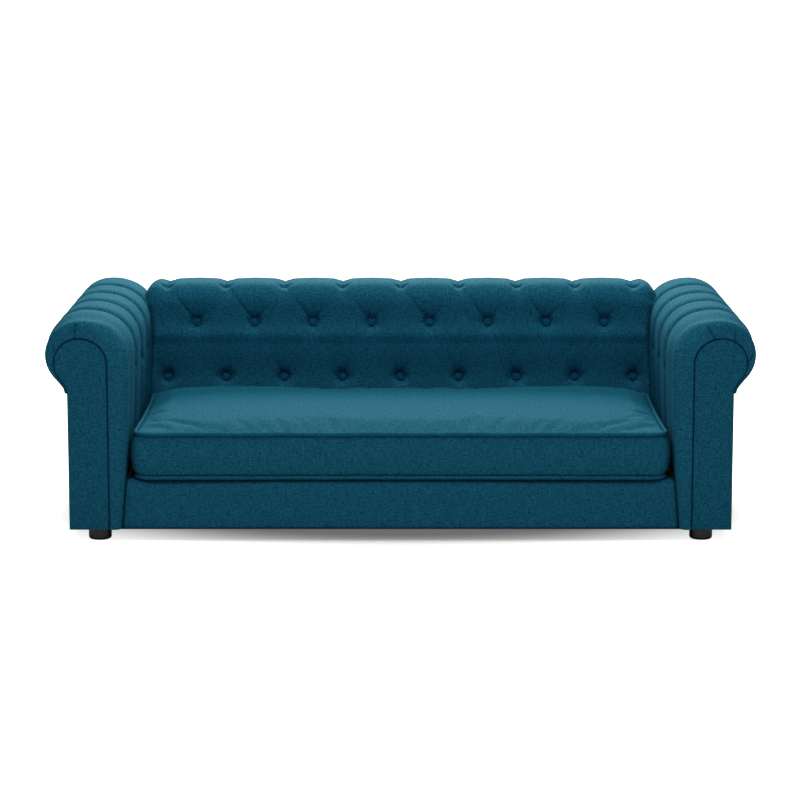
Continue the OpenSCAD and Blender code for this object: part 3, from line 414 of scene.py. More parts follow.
FINISHES = {
    "cover_fabric": petrol_cloth("petrol_weave", (0.0040, 0.064, 0.126), (0.017, 0.144, 0.260)),
    "trim_fabric": petrol_cloth("petrol_trim_weave", (0.0035, 0.060, 0.118), (0.015, 0.135, 0.244),
                                shift=20.0),
    "pine": sawn_wood("planed_pine", (0.66, 0.47, 0.25), (0.47, 0.30, 0.13), (4, 70, 70)),
    "plywood": sawn_wood("birch_plywood", (0.60, 0.43, 0.24), (0.42, 0.28, 0.14), (60, 60, 9)),
    "hardboard": speckled("brown_hardboard", (0.10, 0.06, 0.03), (0.18, 0.11, 0.06), 900, 0.8),
    "felt": speckled("dark_felt", (0.002, 0.007, 0.011), (0.006, 0.016, 0.022), 700, 0.95,
                     depth=0.0006, strength=0.6),
    "foam": speckled("open_foam", (0.62, 0.55, 0.32), (0.80, 0.74, 0.50), 1100, 0.95,
                     depth=0.0006, strength=0.6),
    "dust_cloth": speckled("black_dust_cloth", (0.003, 0.003, 0.004), (0.010, 0.010, 0.012), 800, 0.9),
    "foot_plastic": speckled("black_foot_plastic", (0.004, 0.004, 0.005), (0.010, 0.010, 0.011),
                             500, 0.42),
    "fastener_steel": speckled("zinc_plated_steel", (0.36, 0.37, 0.39), (0.55, 0.56, 0.59),
                               300, 0.35, 1.0),
    "zip_plastic": speckled("petrol_zip_plastic", (0.004, 0.030, 0.048), (0.010, 0.060, 0.090),
                            900, 0.5),
    "zip_metal": speckled("lacquered_zip_metal", (0.005, 0.035, 0.052), (0.012, 0.065, 0.090),
                          400, 0.3, 0.4),
}


# The two arms

def arm_inner_x(z):
    """The arm's inner side at a height: bulging at the roll, drawn back towards the floor."""
    z = np.asarray(z, float)
    up = np.clip((z - ARM_BULGE_Z) / ARM_BULGE_H, 0, 1)
    down = (ARM_BULGE_Z - z) / (ARM_BULGE_Z - FLOOR_EDGE_Z)
    bulge = ARM_ROLL_X - ARM_BULGE_W
    return np.where(z > ARM_BULGE_Z, ARM_ROLL_X - ARM_BULGE_W * np.sqrt(1 - up ** 2),
                    bulge + ARM_DRAWBACK * down ** 2)


def arm_neck():
    """The hollow between the arm's flat side and its head: its radius, and the angle on the head where
    it ends, in degrees."""
    dx, dz = ARM_SIDE_X - ARM_HEAD_X, ARM_HEAD_Z - THROAT_Z
    radius = (dz ** 2 + dx ** 2 - ARM_HEAD_R ** 2) / (2 * (ARM_HEAD_R - dx))
    return radius, -math.degrees(math.atan2(dz, dx + radius))


def arm_lines(step):
    """The arm's outer line from its lip at the throat round the roll and down to the frame's bottom,
    and beside each point the place on the facing's seam."""
    n = 400
    neck_r, turn = arm_neck()
    seam_roll = np.concatenate([
        arc(ARM_SIDE_X + neck_r, THROAT_Z, neck_r, neck_r, 180, 180 + turn, 40),
        arc(ARM_HEAD_X, ARM_HEAD_Z, ARM_HEAD_R, ARM_HEAD_R, turn, 90, 160)[1:]])
    roll = arc(ARM_ROLL_X, ARM_ROLL_Z, ARM_ROLL_R, ARM_ROLL_R, LIP_ANGLE, 90, 180)
    roll = np.concatenate([np.linspace([ARM_SIDE_X + LIP_OUT, THROAT_Z], roll[0], 20), roll[1:]])

    def shared(line):
        run = way_along(line)
        return places_at(np.linspace(0, 1, n) * run[-1], run, line)

    quarter = arc(ARM_ROLL_X, ARM_BULGE_Z, ARM_BULGE_W, ARM_BULGE_H, 90, 180, n)
    seam_quarter = arc(ARM_HEAD_X, ARM_HEAD_Z, ARM_HEAD_IN, ARM_HEAD_R, 90, 180, n)
    z = np.linspace(ARM_BULGE_Z, FLOOR_EDGE_Z, n)
    side = np.stack([arm_inner_x(z), z], 1)
    seam_side = np.stack([np.full(n, ARM_HEAD_X - ARM_HEAD_IN), np.minimum(z, ARM_HEAD_Z)], 1)
    outer = np.concatenate([shared(roll), quarter[1:], side[1:]])
    seam = np.concatenate([shared(seam_roll), seam_quarter[1:], seam_side[1:]])
    return evenly(outer, seam, step=step)


def folds(y):
    """The folds over the arm at a place along it: how high each stands between its two creases, from 0
    to 1, and how near the slit of a crease is."""
    height, slit = np.ones_like(y), np.zeros_like(y)
    for first, last in zip([FRONT_Y] + ARM_CREASES[:-1], ARM_CREASES):
        u = (y - first) / (last - first)
        before = np.clip(1 - u / CREST_AT, 0, 1)
        after = np.clip((u - CREST_AT) / (1 - CREST_AT), 0, 1)
        # No crease at the front band, and only a part of one at the rear edge
        at_front = 0.15 if first == FRONT_Y else 1.0
        at_rear = 0.45 if last > REAR_Y else 1.0
        rise = (1 - at_front * before ** 10) ** 0.75
        fall = (1 - at_rear * after ** 5) ** 0.62
        height = np.where((u >= 0) & (u <= 1), np.minimum(rise, fall), height)
        slit = np.maximum(slit, bump(y - last, 5.0, 1.6) * (last < REAR_Y))
    return height, slit


def arm_relief(y, z, s, s_top, s_button, seed):
    """How deep the arm's cloth is drawn in, in mm."""
    up = smooth(s / (0.8 * s_top))
    down = np.clip((z - SEAT_Z - 6) / (ARM_BUTTON_Z - SEAT_Z), 0, 1)
    below = s > s_button
    shoulder = smooth((s - s_top) / (s_button - s_top))
    depth = np.where(below, CREASE_DEPTH_LOW * down ** 0.7, CREASE_DEPTH * up + shoulder)
    proud = np.where(below, FOLD_PROUD_LOW * down ** 0.5, (FOLD_PROUD - 1.5 * shoulder) * up)
    gate = smooth((y - FRONT_Y - 18) / 40)
    height, slit = folds(y)
    sunk = depth * (0.82 * (1 - height) + 0.42 * slit)
    relief = (sunk - proud * height * smooth((y - FRONT_Y - 20) / 50)) * gate
    # Slack wrinkles that run the way of the folds
    rng = np.random.default_rng(seed)
    for _ in range(34):
        cy = rng.uniform(FRONT_Y + 30, REAR_Y - 10)
        cs = rng.uniform(s_top * 0.5, s_button + 90)
        length, width, lean = rng.uniform(14, 40), rng.uniform(1.8, 4.5), rng.normal(0, 0.25)
        relief = relief + rng.uniform(-0.6, 0.8) * wrinkle(y - cy, s - cs, length, width, lean) * gate
    for by in ARM_BUTTONS:
        relief = relief + (ARM_TUFT_DEPTH - relief) * bump(np.hypot(y - by, s - s_button), 11, 6)
    return relief


def arm_places(last):
    """Places along the arm for its columns of points, close together at the creases and the end."""
    close = [-13, -10, -7.5, -5.5, -4, -2.8, -1.8, -1, -0.4, 0, 0.4, 1, 1.8, 2.8, 4.5, 7, 10]
    ys = set(np.arange(FRONT_Y + 14, last, 6.0).tolist())
    for crease_y in ARM_CREASES[:4]:
        ys = {v for v in ys if abs(v - crease_y) > 14} | {crease_y + o for o in close}
    ys |= {last - o for o in (0, 2, 4)}
    ys = np.array(sorted(v for v in ys if v <= last))
    return ys[np.concatenate([[True], np.diff(ys) > 0.2])]


def arm_columns(width, edge):
    """The columns of the arm's padding, each with a point for every row: how far out from the facing's
    seam it lies, and its y. width is the way from the seam to the outer line, and edge the radius that
    the front edge is rounded by."""
    out, y = [], []
    for q in (0, 0.02, 0.06, 0.12, 0.22, 0.36, 0.5, 0.64, 0.78, 0.9, 1.0):
        n = q * (width - edge)
        out.append(n)
        y.append(BAND_Y + BAND_SEAM * np.exp(-n / 0.8) - BAND_SWELL * np.sin(math.pi * q))
    for a in np.radians([18, 36, 54, 72, 90]):
        out.append(width - edge + edge * math.sin(a))
        y.append(BAND_Y + edge * (1 - math.cos(a)))
    edge_y = y[-1]
    ys = arm_places(REAR_Y - ARM_REAR_EDGE)
    for place in ys:
        out.append(width)
        y.append(np.maximum(place, edge_y + 1.0 + (place - ys[0]) / 30.0))
    for a in np.radians([20, 40, 60, 80, 90]):
        out.append(width - ARM_REAR_EDGE * (1 - math.cos(a)))
        y.append(np.full_like(width, REAR_Y - ARM_REAR_EDGE + ARM_REAR_EDGE * math.sin(a)))
    # The cloth goes on over the rear end as far as the seam of its cover
    tucked = width - ARM_REAR_EDGE - 3
    for q in (1.0, 0.96, 0.7, 0.35, 0.0):
        out.append(np.minimum(q * tucked, tucked) - (2.0 if q == 0 else 0))
        y.append(np.full_like(width, REAR_Y - (1.8 if q < 1 else 0)))
    return np.stack(out, 1), np.stack(y, 1)


def arm_pad(side):
    """Padding of one arm: a flat band round the facing, turned over the front edge, and then folds over
    the roll that run down the inner side to the buttons."""
    (outer, seam), normal, s = arm_lines(ARM_STEP)
    s_top = s[np.argmax(outer[:, 1])]
    inner_rows = s > s_top
    # The padding stands a little over the frame's line, most on the bulge, and thins out at the lip
    over = 1.5 * smooth((s - 20) / 60) * smooth((s_top + ARM_BULGE_RUN - s) / 40)
    over += 3.5 * np.sin(math.pi * np.clip((s - s_top) / ARM_BULGE_RUN, 0, 1)) ** 2
    outer = outer + normal * over[:, None]
    outer = seam + (outer - seam) * (0.12 + 0.88 * smooth(s / 16))[:, None]
    s_button = way_at(s, outer[:, 1], ARM_BUTTON_Z, inner_rows)
    out = outer - seam
    width = np.linalg.norm(out, axis=1)
    out = out / width[:, None]
    edge = 4.5 + 26.0 * bump(s - s_top - 64, 46) + 6.0 * smooth((s - s_top - 70) / 50)
    edge = np.minimum(edge, width * 0.85)
    n, y = arm_columns(width, edge)
    width = width[:, None]

    x = seam[:, :1] + out[:, :1] * n
    z = seam[:, 1:] + out[:, 1:] * n
    rows = np.broadcast_to(s[:, None], n.shape)
    relief = arm_relief(y, z, rows, s_top, s_button, 3 if side > 0 else 8)
    relief = relief * smooth((n - width * 0.7) / (width * 0.25 + 1))
    x = x - normal[:, :1] * relief
    z = z - normal[:, 1:] * relief

    share = np.clip(n / np.maximum(width, 1), 0, 1)
    lip = s_top - math.radians(90 - LIP_ANGLE) * ARM_ROLL_R
    for turn, first, last, depth in ARM_DARTS[side]:
        at = lip + math.radians(turn - LIP_ANGLE) * ARM_ROLL_R
        if turn > 90:
            at = s_top + (turn - 90) / 90 * ARM_BULGE_RUN
        within = smooth((share - first) / 0.05 + 1) * smooth((last - share) / 0.12)
        dart = bump(rows - at - 5 * (share - first), 1.9) * within * (y < FRONT_Y + 12)
        y = y + 4.2 * depth * dart

    seat_row = int(np.argmax((outer[:, 1] < SEAT_Z) & inner_rows))
    cut = int(np.argmax(y[seat_row] > BAND_REAR_Y))
    points = np.stack([side * x, y, z], 2)
    run = np.cumsum(np.hypot(np.diff(n, axis=1), np.diff(y, axis=1)), 1)
    flat = np.stack([np.concatenate([np.zeros((len(s), 1)), run], 1), rows], 2)
    pad = lattice(points[:seat_row + 1], flat[:seat_row + 1], turn=side < 0)
    band = lattice(points[seat_row:, :cut + 1], flat[seat_row:, :cut + 1], turn=side < 0)
    join(pad, band)
    merge_doubles(pad)
    thicken(pad, SKIN)
    smooth_shading(pad, 60)
    hand = HANDS[side]
    finish_piece(pad, f"arm_folded_pad_{hand}", "sofa", "cover_fabric", [f"arm_pad_{hand}"])

    j = int(np.argmin(np.abs(s - s_button)))
    spots = []
    for by in ARM_BUTTONS:
        sink = relief[j, np.argmin(np.abs(y[j] - by))] - 4.0
        place = outer[j] - normal[j] * sink
        spots.append(((side * place[0], by, place[1]), (side * normal[j, 0], 0, normal[j, 1])))
    buttons(f"arm_covered_buttons_{hand}", spots, [f"arm_buttons_{hand}"])


def keyhole_line(off, low):
    """Outline of the arm's boards from the throat round the head, as (across, z), grown by off, and its
    foot raised by low."""
    neck_r, turn = arm_neck()
    line = np.concatenate([
        [[ARM_SIDE_X + off, FLOOR_EDGE_Z + low]],
        arc(ARM_SIDE_X + neck_r, THROAT_Z, neck_r - off, neck_r - off, 180, 180 + turn, 40),
        arc(ARM_HEAD_X, ARM_HEAD_Z, ARM_HEAD_R + off, ARM_HEAD_R + off, turn, 90, 90)[1:],
        arc(ARM_HEAD_X, ARM_HEAD_Z, ARM_HEAD_IN + off, ARM_HEAD_R + off, 90, 180, 90)[1:],
        [[ARM_HEAD_X - ARM_HEAD_IN - off, FLOOR_EDGE_Z + low]]])
    return evenly(line, step=way_along(line)[-1] / 260)[0][0]


def covered_board(side, steps):
    """A cloth-covered board in the shape of the arm's end: its outline drawn out through steps of
    [growth, place along the arm, how far its foot is raised], and both ends closed."""
    rings = []
    for off, y, low in steps:
        line = keyhole_line(off, low)
        line = np.concatenate([line, line[:1]])
        rings.append(np.stack([side * line[:, 0], np.full(len(line), y), line[:, 1]], 1))
    points = np.stack(rings)
    piece = lattice(points, points[:, :, [0, 2]])
    merge_doubles(piece)
    edit(piece, lambda: bpy.ops.mesh.fill_holes(sides=0),
         lambda: bpy.ops.mesh.normals_make_consistent(inside=False))
    cloth_map(piece)
    smooth_shading(piece, 35)
    return piece


def arm_facing(side):
    piece = covered_board(side, [
        (0.2, FACING_REAR_Y, 0), (0.2, FRONT_Y + 7.1, 0), (-0.7, FRONT_Y + 7.1, 0),
        (-0.7, FRONT_Y + 2.0, 0), (-1.1, FRONT_Y + 1.1, 0.3), (-2.2, FRONT_Y + 0.6, 1.2),
        (-7.0, FRONT_Y + 0.3, 5.0)])
    hand = HANDS[side]
    finish_piece(piece, f"arm_front_facing_{hand}", "sofa", "trim_fabric", [f"arm_facing_{hand}"])


def arm_rear_cover(side):
    piece = covered_board(side, [(0.5, REAR_Y - 1.4, 0), (0.5, REAR_Y - 0.6, 0),
                                 (0.1, REAR_Y - 0.1, 0.3), (-0.9, REAR_Y, 1.0)])
    hand = HANDS[side]
    finish_piece(piece, f"arm_rear_cloth_{hand}", "sofa", "trim_fabric", [f"arm_rear_cover_{hand}"])


def stretched_cloth(name, corner, along, up, steps, thickness, out, node, slot="cover_fabric"):
    """A flat cover stapled over a board, with faint slack waves and soft edges."""
    along, up, out = (np.asarray(v, float) for v in (along, up, out))
    a = np.linspace(0, 1, steps[0])[None, :, None]
    b = np.linspace(0, 1, steps[1])[:, None, None]
    points = np.asarray(corner, float) + a * along + b * up
    la, lb = np.linalg.norm(along), np.linalg.norm(up)
    edge = np.minimum(np.minimum(a, 1 - a) * la, np.minimum(b, 1 - b) * lb)
    waves = SLACK_WAVES * np.sin(a * 9 + b * 3) * np.sin(b * 5 + a * 2) * smooth(edge / 30)
    points = points + out * (waves - 0.5 * bump(edge, 1.5))
    flat = np.concatenate(np.broadcast_arrays(a * la, b * lb), 2)
    faces_in = np.dot(np.cross(along, up), out) <= 0
    piece = lattice(points, flat, turn=faces_in)
    thicken(piece, thickness)
    smooth_shading(piece, 50)
    finish_piece(piece, name, "sofa", slot, [node])


# Covered buttons

def buttons(name, spots, replaces):
    """Domed buttons covered in the cloth, each gathered under its rim."""
    made = []
    for place, axis in spots:
        select()
        bpy.ops.mesh.primitive_uv_sphere_add(segments=24, ring_count=12, radius=1)
        piece = bpy.context.object
        co = points_of(piece) * MM
        top = co[:, 2] > 0
        r = np.hypot(co[:, 0], co[:, 1])
        co[:, 2] *= BUTTON_H * np.where(top, 0.75, 0.45)
        co[:, :2] *= BUTTON_R
        gathers = np.sin(np.arctan2(co[:, 1], co[:, 0]) * 7) * r ** 4
        co[:, 2] += np.where(top, 0.25 * gathers, 0)
        axis = np.asarray(axis, float) / np.linalg.norm(axis)
        first = np.cross([0, 1, 0] if abs(axis[1]) < 0.9 else [1, 0, 0], axis)
        first /= np.linalg.norm(first)
        second = np.cross(axis, first)
        turned = co[:, :1] * first + co[:, 1:2] * second + (co[:, 2:] + BUTTON_H * 0.3) * axis
        place_points(piece, np.asarray(place) + turned)
        made.append(piece)
    piece = join(*made)
    cloth_map(piece)
    smooth_shading(piece, 60)
    finish_piece(piece, name, "sofa", "trim_fabric", replaces)


# The back

def back_front_y(z):
    """Front face of the back, between the seat and its roll."""
    f = (np.asarray(z, float) - SEAT_Z) / (BACK_BULGE_Z - SEAT_Z)
    return BACK_SEAT_Y + (BACK_FRONT_Y - BACK_SEAT_Y) * f - 4 * BACK_BELLY * f * (1 - f)


def back_end(z):
    """Where the back ends at a height, beside the arm."""
    return np.minimum(arm_inner_x(z), BACK_END_X) - BACK_END_GAP


def back_corner(z, face, more):
    """How far the back's ends are rounded at a height: a little on the face, and more on the roll."""
    return face + more * smooth((z - BACK_CORNER_Z) / 50)


def crease(x, s, x0, s0, x1, s1, depth, width):
    """A crease in the cloth from one place to another, fading towards its far end."""
    dx, ds = x1 - x0, s1 - s0
    length = math.hypot(dx, ds)
    t = ((x - x0) * dx + (s - s0) * ds) / length ** 2
    away = np.abs((x - x0) * ds - (s - s0) * dx) / length
    fade = np.clip(1 - t, 0, 1) ** 0.8 * smooth((t + 0.04) / 0.08)
    return depth * fade * (0.7 * np.exp(-away / width) + 0.3 * bump(away, width * 4))


def back_relief(x, s, z, s_pit, s_up, s_low):
    """How deep the back's cloth is drawn in, in mm."""
    rng = np.random.default_rng(5)
    both_rows = [(bx, at) for rows, at in ((BACK_UPPERS, s_up), (BACK_LOWERS, s_low)) for bx in rows]
    # Scallops between the pits, over the roll and fading down the face
    past = s - s_pit
    near_pit = (x + BACK_PITCH / 2) % BACK_PITCH - BACK_PITCH / 2
    wave = 0.4 * np.cos(np.pi * x / BACK_PITCH) ** 2 + 0.6 * bump(near_pit, 12, 4)
    over = np.where(past < 0, 1.6 + 3.0 * smooth(s / s_pit), 4.6 * bump(past, 28))
    dip = np.where(past < 0, 1.5 * smooth((past + 60) / 60), 4.5 * bump(past, 24))
    relief = (wave * over + dip * bump(near_pit, 11, 3)) * smooth(s / 20)
    for px in BACK_LOWERS:
        px = px + rng.normal(0, 1.0)
        pit = bump(np.hypot((x - px) / 1.5, past), 8.0, 4)
        relief = np.maximum(relief, BACK_PIT_DEPTH * pit)
        relief += 3.2 * bump(x - px, 2.4, 1.4) * smooth(-past / 14) * smooth((s - 18) / 60)
        relief += 2.4 * bump(x - px, 3, 1.4) * bump(past - 11, 7)
    # The roll ends in a soft ledge over the lower face
    face = past > 30
    relief -= 3.0 * smooth((BACK_BULGE_Z + 26 - z) / 44) * smooth((z - 250) / 18) * face
    relief += 9.0 * smooth((272 - z) / 80) * face
    # Soft dimples at the buttons, with short creases all round
    floor = relief + BACK_TUFT_DEPTH
    for bx, at in both_rows:
        away = np.hypot(x - bx, s - at)
        relief += 8.5 * bump(away, 12.5, 3) + 3.0 * bump(away, 26)
        for _ in range(9):
            a = rng.uniform(0, 2 * math.pi)
            reach = rng.uniform(16, 28)
            relief += crease(x, s, bx, at, bx + reach * math.cos(a), at + reach * math.sin(a),
                             rng.uniform(0.8, 1.8), 1.3)
    # Creases that draw the cloth into diamonds: each runs a share of the way to the next row
    between = 49
    for bx in BACK_UPPERS:
        for way in (-1, 1):
            long = rng.uniform(0.62, 0.95) if way < 0 else rng.uniform(0.35, 0.55)
            relief += crease(x, s, bx, s_up, bx + way * between * long,
                             s_up + (s_pit + 12 - s_up) * long, rng.uniform(4.2, 5.6), 1.3)
            long = rng.uniform(0.25, 0.5)
            relief += crease(x, s, bx, s_up, bx + way * between * long * 0.6,
                             s_up + (s_low - s_up) * long, rng.uniform(1.6, 2.8), 1.4)
    for bx in BACK_LOWERS:
        for way in (-1, 1):
            long = rng.uniform(0.2, 0.42)
            relief += crease(x, s, bx, s_low, bx + way * between * long,
                             s_low + (s_up - s_low) * long, rng.uniform(2.2, 3.8), 1.4)
            relief += crease(x, s, bx, s_low, bx + way * rng.uniform(2, 9), s_low + 45,
                             rng.uniform(1.2, 2.4), 1.5)
    for bx, at in both_rows:
        relief += (floor - relief) * bump(np.hypot(x - bx, s - at), 10.3, 12)
    return relief


def back_pad():
    """Padding of the back: pockets along the top, two rows of buttons with creases between them."""
    a = np.radians(np.linspace(90, 180, 500))
    square = 2 / BACK_SQUARE
    shoulder = np.stack([BACK_ROLL_Y - BACK_BULGE_D * (-np.cos(a).clip(-1, 0)) ** square,
                         BACK_BULGE_Z + BACK_BULGE_H * np.sin(a).clip(0, 1) ** square], 1)
    roll = arc(BACK_ROLL_Y, BACK_ROLL_Z, BACK_ROLL_R, BACK_ROLL_R, LIP_ANGLE, 90, 300)
    lip = np.linspace([REAR_Y + LIP_OUT, THROAT_Z], roll[0], 20)
    z = np.linspace(BACK_BULGE_Z, SEAT_Z + 0.3, 400)
    face = np.stack([back_front_y(z), z], 1)
    line = np.concatenate([lip, roll[1:], shoulder[1:], face[1:]])
    (outer,), normal, s = evenly(line, step=BACK_STEP)
    front = s > s[np.argmax(outer[:, 1])]
    # The cloth spans the turn from the roll to the lower face in one soft curve
    turn = way_at(s, outer[:, 1], BACK_BULGE_Z, front)
    reach = 14
    kernel = bump(np.arange(-reach, reach + 1), 6.0)
    kernel /= kernel.sum()
    soft = [np.convolve(np.pad(outer[:, k], reach, mode="edge"), kernel, "valid") for k in (0, 1)]
    outer = outer + (np.stack(soft, 1) - outer) * bump(s - turn, 34, 4)[:, None]
    normal = outward(outer)
    s_up = way_at(s, outer[:, 1], BACK_UP_Z, front)
    s_low = way_at(s, outer[:, 1], BACK_LOW_Z, front)
    on_roll = outer[:, 1] >= 330
    s_pit = way_at(s, outer[:, 0], BACK_PIT_Y, on_roll)

    half = back_end(outer[:, 1])[:, None]
    x = shares_across(361, 430, (7.2, 5.6, 4.2, 3.0, 2.0, 1.2, 0.6, 0.2, 0.0), 8.0) * half
    rows = np.broadcast_to(s[:, None], x.shape)
    height = np.broadcast_to(outer[:, 1:], x.shape)
    relief = back_relief(x, rows, height, s_pit, s_up, s_low)
    edge = back_corner(outer[:, 1:], 8.0, 20.0)
    near = np.clip((np.abs(x) - (half - edge)) / edge, 0, 1)
    relief = relief * (1 - 0.7 * smooth(near)) + edge * (1 - np.sqrt(1 - near ** 2))
    pad = lattice_across(x, outer, normal, s, relief)
    thicken(pad, SKIN)
    smooth_shading(pad, 60)
    finish_piece(pad, "back_tufted_pad", "sofa", "cover_fabric", ["back_pad"])

    for row, xs, at in (("upper", BACK_UPPERS, s_up), ("lower", BACK_LOWERS, s_low)):
        j = int(np.argmin(np.abs(s - at)))
        spots = []
        for bx in xs:
            place = outer[j] - normal[j] * (relief[j, np.argmin(np.abs(x[j] - bx))] - 2.0)
            spots.append(((bx, place[0], place[1]), (0, normal[j, 0], normal[j, 1])))
        buttons(f"back_covered_buttons_{row}", spots, [f"back_buttons_{row}"])
    return outer, normal


def back_ends(outer, normal):
    """Cloth that closes the back's two ends, sewn inside the pad's edge."""
    made = []
    line = outer - normal * back_corner(outer[:, 1:], 6.5, 19.5)
    throat = np.stack([np.full(len(line), REAR_Y - 2), np.minimum(line[:, 1], THROAT_Z)], 1)
    share = np.linspace(0, 1, 9)[None, :, None]
    flat = throat[:, None] + (line - throat)[:, None] * share
    for side in (-1, 1):
        x = side * (back_end(flat[:, :, 1]) - 1.4)
        made.append(lattice(np.concatenate([x[:, :, None], flat], 2), flat, turn=side > 0))
    piece = join(*made)
    merge_doubles(piece)
    thicken(piece, COVER_CLOTH)
    smooth_shading(piece, 50)
    finish_piece(piece, "back_end_cloth", "sofa", "cover_fabric", ["back_end_covers"])


# The base

def rail_cover():
    """Padded cover of the front rail, its upper edge rounded and its cloth turned in at the arms."""
    low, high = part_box("front_rail_cover")
    y0, y1 = low[1] / MM, high[1] / MM
    turned = arc(y0 + RAIL_EDGE_R, SEAT_Z - RAIL_EDGE_R, RAIL_EDGE_R, RAIL_EDGE_R, 180, 90, 30)
    line = np.concatenate([[[y0, FLOOR_EDGE_Z]], turned, [[y1, SEAT_Z]]])
    (outer,), normal, s = evenly(line, step=RAIL_STEP)
    half = (arm_inner_x(outer[:, 1]) - RAIL_END_GAP)[:, None]
    x = shares_across(171, 425, (9, 7, 5, 3.4, 2.0, 1.0, 0.3, 0.0), 11) * half
    near = np.clip((np.abs(x) - (half - RAIL_END_TURN)) / RAIL_END_TURN, 0, 1)
    sink = RAIL_END_SINK * (1 - np.sqrt(1 - near ** 2))
    low_edge = 0.8 * bump(outer[:, 1:] - FLOOR_EDGE_Z, 1.5)
    waves = SLACK_WAVES * np.sin(x / 61 + 1) * np.sin(s[:, None] / 23 + x / 170)
    piece = lattice_across(x, outer, -normal, s, sink + low_edge + waves)
    thicken(piece, RAIL_SKIN)
    smooth_shading(piece, 60)
    finish_piece(piece, "front_rail_padded_cover", "sofa", "cover_fabric", ["front_rail_cover"])


def soft_block(name, node, body, slot, edge):
    """A block of foam or felt, its edges rounded by handling."""
    low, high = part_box(node)
    select()
    bpy.ops.mesh.primitive_cube_add(size=1)
    piece = bpy.context.object
    middle, size = (low + high) / 2, high - low
    edit(piece, lambda: bpy.ops.transform.resize(value=tuple(size)),
         lambda: bpy.ops.transform.translate(value=tuple(middle)),
         lambda: bpy.ops.mesh.bevel(offset=edge * MM, segments=3, affect="EDGES"))
    edit(piece, lambda: bpy.ops.mesh.subdivide(number_cuts=3))
    smooth_shading(piece, 30)
    finish_piece(piece, name, body, slot, [node])


# The loose cushion

def drawn_in(x, y):
    """The cushion's plan, put in its place with its front and its ends drawn in between the corners."""
    xd = x * (1 - DRAW_IN / CUSHION_HX * (1 - (y / CUSHION_HY) ** 2))
    front = 1 - DRAW_IN / CUSHION_HY * (1 - (x / CUSHION_HX) ** 2)
    return xd, y * np.where(y > 0, 1, front) + CUSHION_Y


def in_plan(u, v):
    """Places on the cushion's plan with its rounded corners, u and v from -1 to 1."""
    hx, hy, r = CUSHION_HX, CUSHION_HY, CUSHION_R
    x, y = u * hx, v * hy
    a = np.clip((np.abs(x) - (hx - r)) / r, 0, 1)
    b = np.clip((np.abs(y) - (hy - r)) / r, 0, 1)
    corner = (a > 0) & (b > 0)
    return (np.where(corner, np.sign(x) * (hx - r + r * a * np.sqrt(1 - b * b / 2)), x),
            np.where(corner, np.sign(y) * (hy - r + r * b * np.sqrt(1 - a * a / 2)), y))


def cushion_border(edge):
    """The cushion's border, down from the seam whose points go once round: swollen at the front and more
    at the ends, and sunk at the rear, where the zip is."""
    edge = np.concatenate([edge, edge[:1]])
    t = np.roll(edge[:-1], -1, 0) - np.roll(edge[:-1], 1, 0)
    out = np.stack([t[:, 1], -t[:, 0]], 1)
    out /= np.linalg.norm(out, axis=1)[:, None]
    out = np.concatenate([out, out[:1]])
    share = np.linspace(0, 1, 12)[:, None]
    rear = smooth(((edge[:, 1] - CUSHION_Y) / CUSHION_HY - 0.88) / 0.1)
    full = FRONT_SWELL + END_SWELL * smooth((np.abs(out[:, 0]) - 0.2) / 0.6)
    swell = (1 - rear) * full * np.sin(math.pi * share) ** 0.6
    swell = swell - rear * REAR_SINK * np.sin(math.pi * share) ** 0.4
    z = np.broadcast_to(SEAM_LOW + (SEAM_HIGH - SEAM_LOW) * share, swell.shape)
    points = np.stack([edge[:, 0] + out[:, 0] * swell, edge[:, 1] + out[:, 1] * swell, z], 2)
    return lattice(points, np.stack([np.broadcast_to(way_along(edge), swell.shape), z], 2))


def sewn_cover():
    """The cushion's cover as it is sewn: a crowned top, an underside and the border between them."""
    columns, rows = 141, 65
    xr, yr = in_plan(*np.meshgrid(np.linspace(-1, 1, columns), np.linspace(-1, 1, rows)))
    x, y = drawn_in(xr, yr)
    # Full towards the rear, and falling more gently towards the front
    fx = 1 - np.abs(xr / CUSHION_HX).clip(0, 1) ** 5
    fy = 1 - np.abs(yr / CUSHION_HY).clip(0, 1) ** np.where(yr > 0, 9.0, 2.8)
    crown = fx ** 0.45 * fy ** np.where(yr > 0, 0.45, 0.95)
    crown[[0, -1], :] = crown[:, [0, -1]] = 0
    top = np.stack([x, y, SEAM_HIGH + CROWN * crown], 2)
    sag = (SEAM_LOW - CUSHION_BOTTOM) * np.minimum(1, crown * 2.2)
    flat = np.stack([xr, yr], 2)
    upper = lattice(top, flat)
    under = lattice(np.stack([x, y, SEAM_LOW - sag], 2), flat, turn=True)
    ring = np.concatenate([np.arange(columns - 1), columns * np.arange(1, rows) - 1,
                           columns * rows - 1 - np.arange(columns - 1),
                           columns * (rows - 1) - columns * np.arange(rows - 1)])
    piece = join(upper, under, cushion_border(top.reshape(-1, 3)[ring]))
    merge_doubles(piece)
    return piece


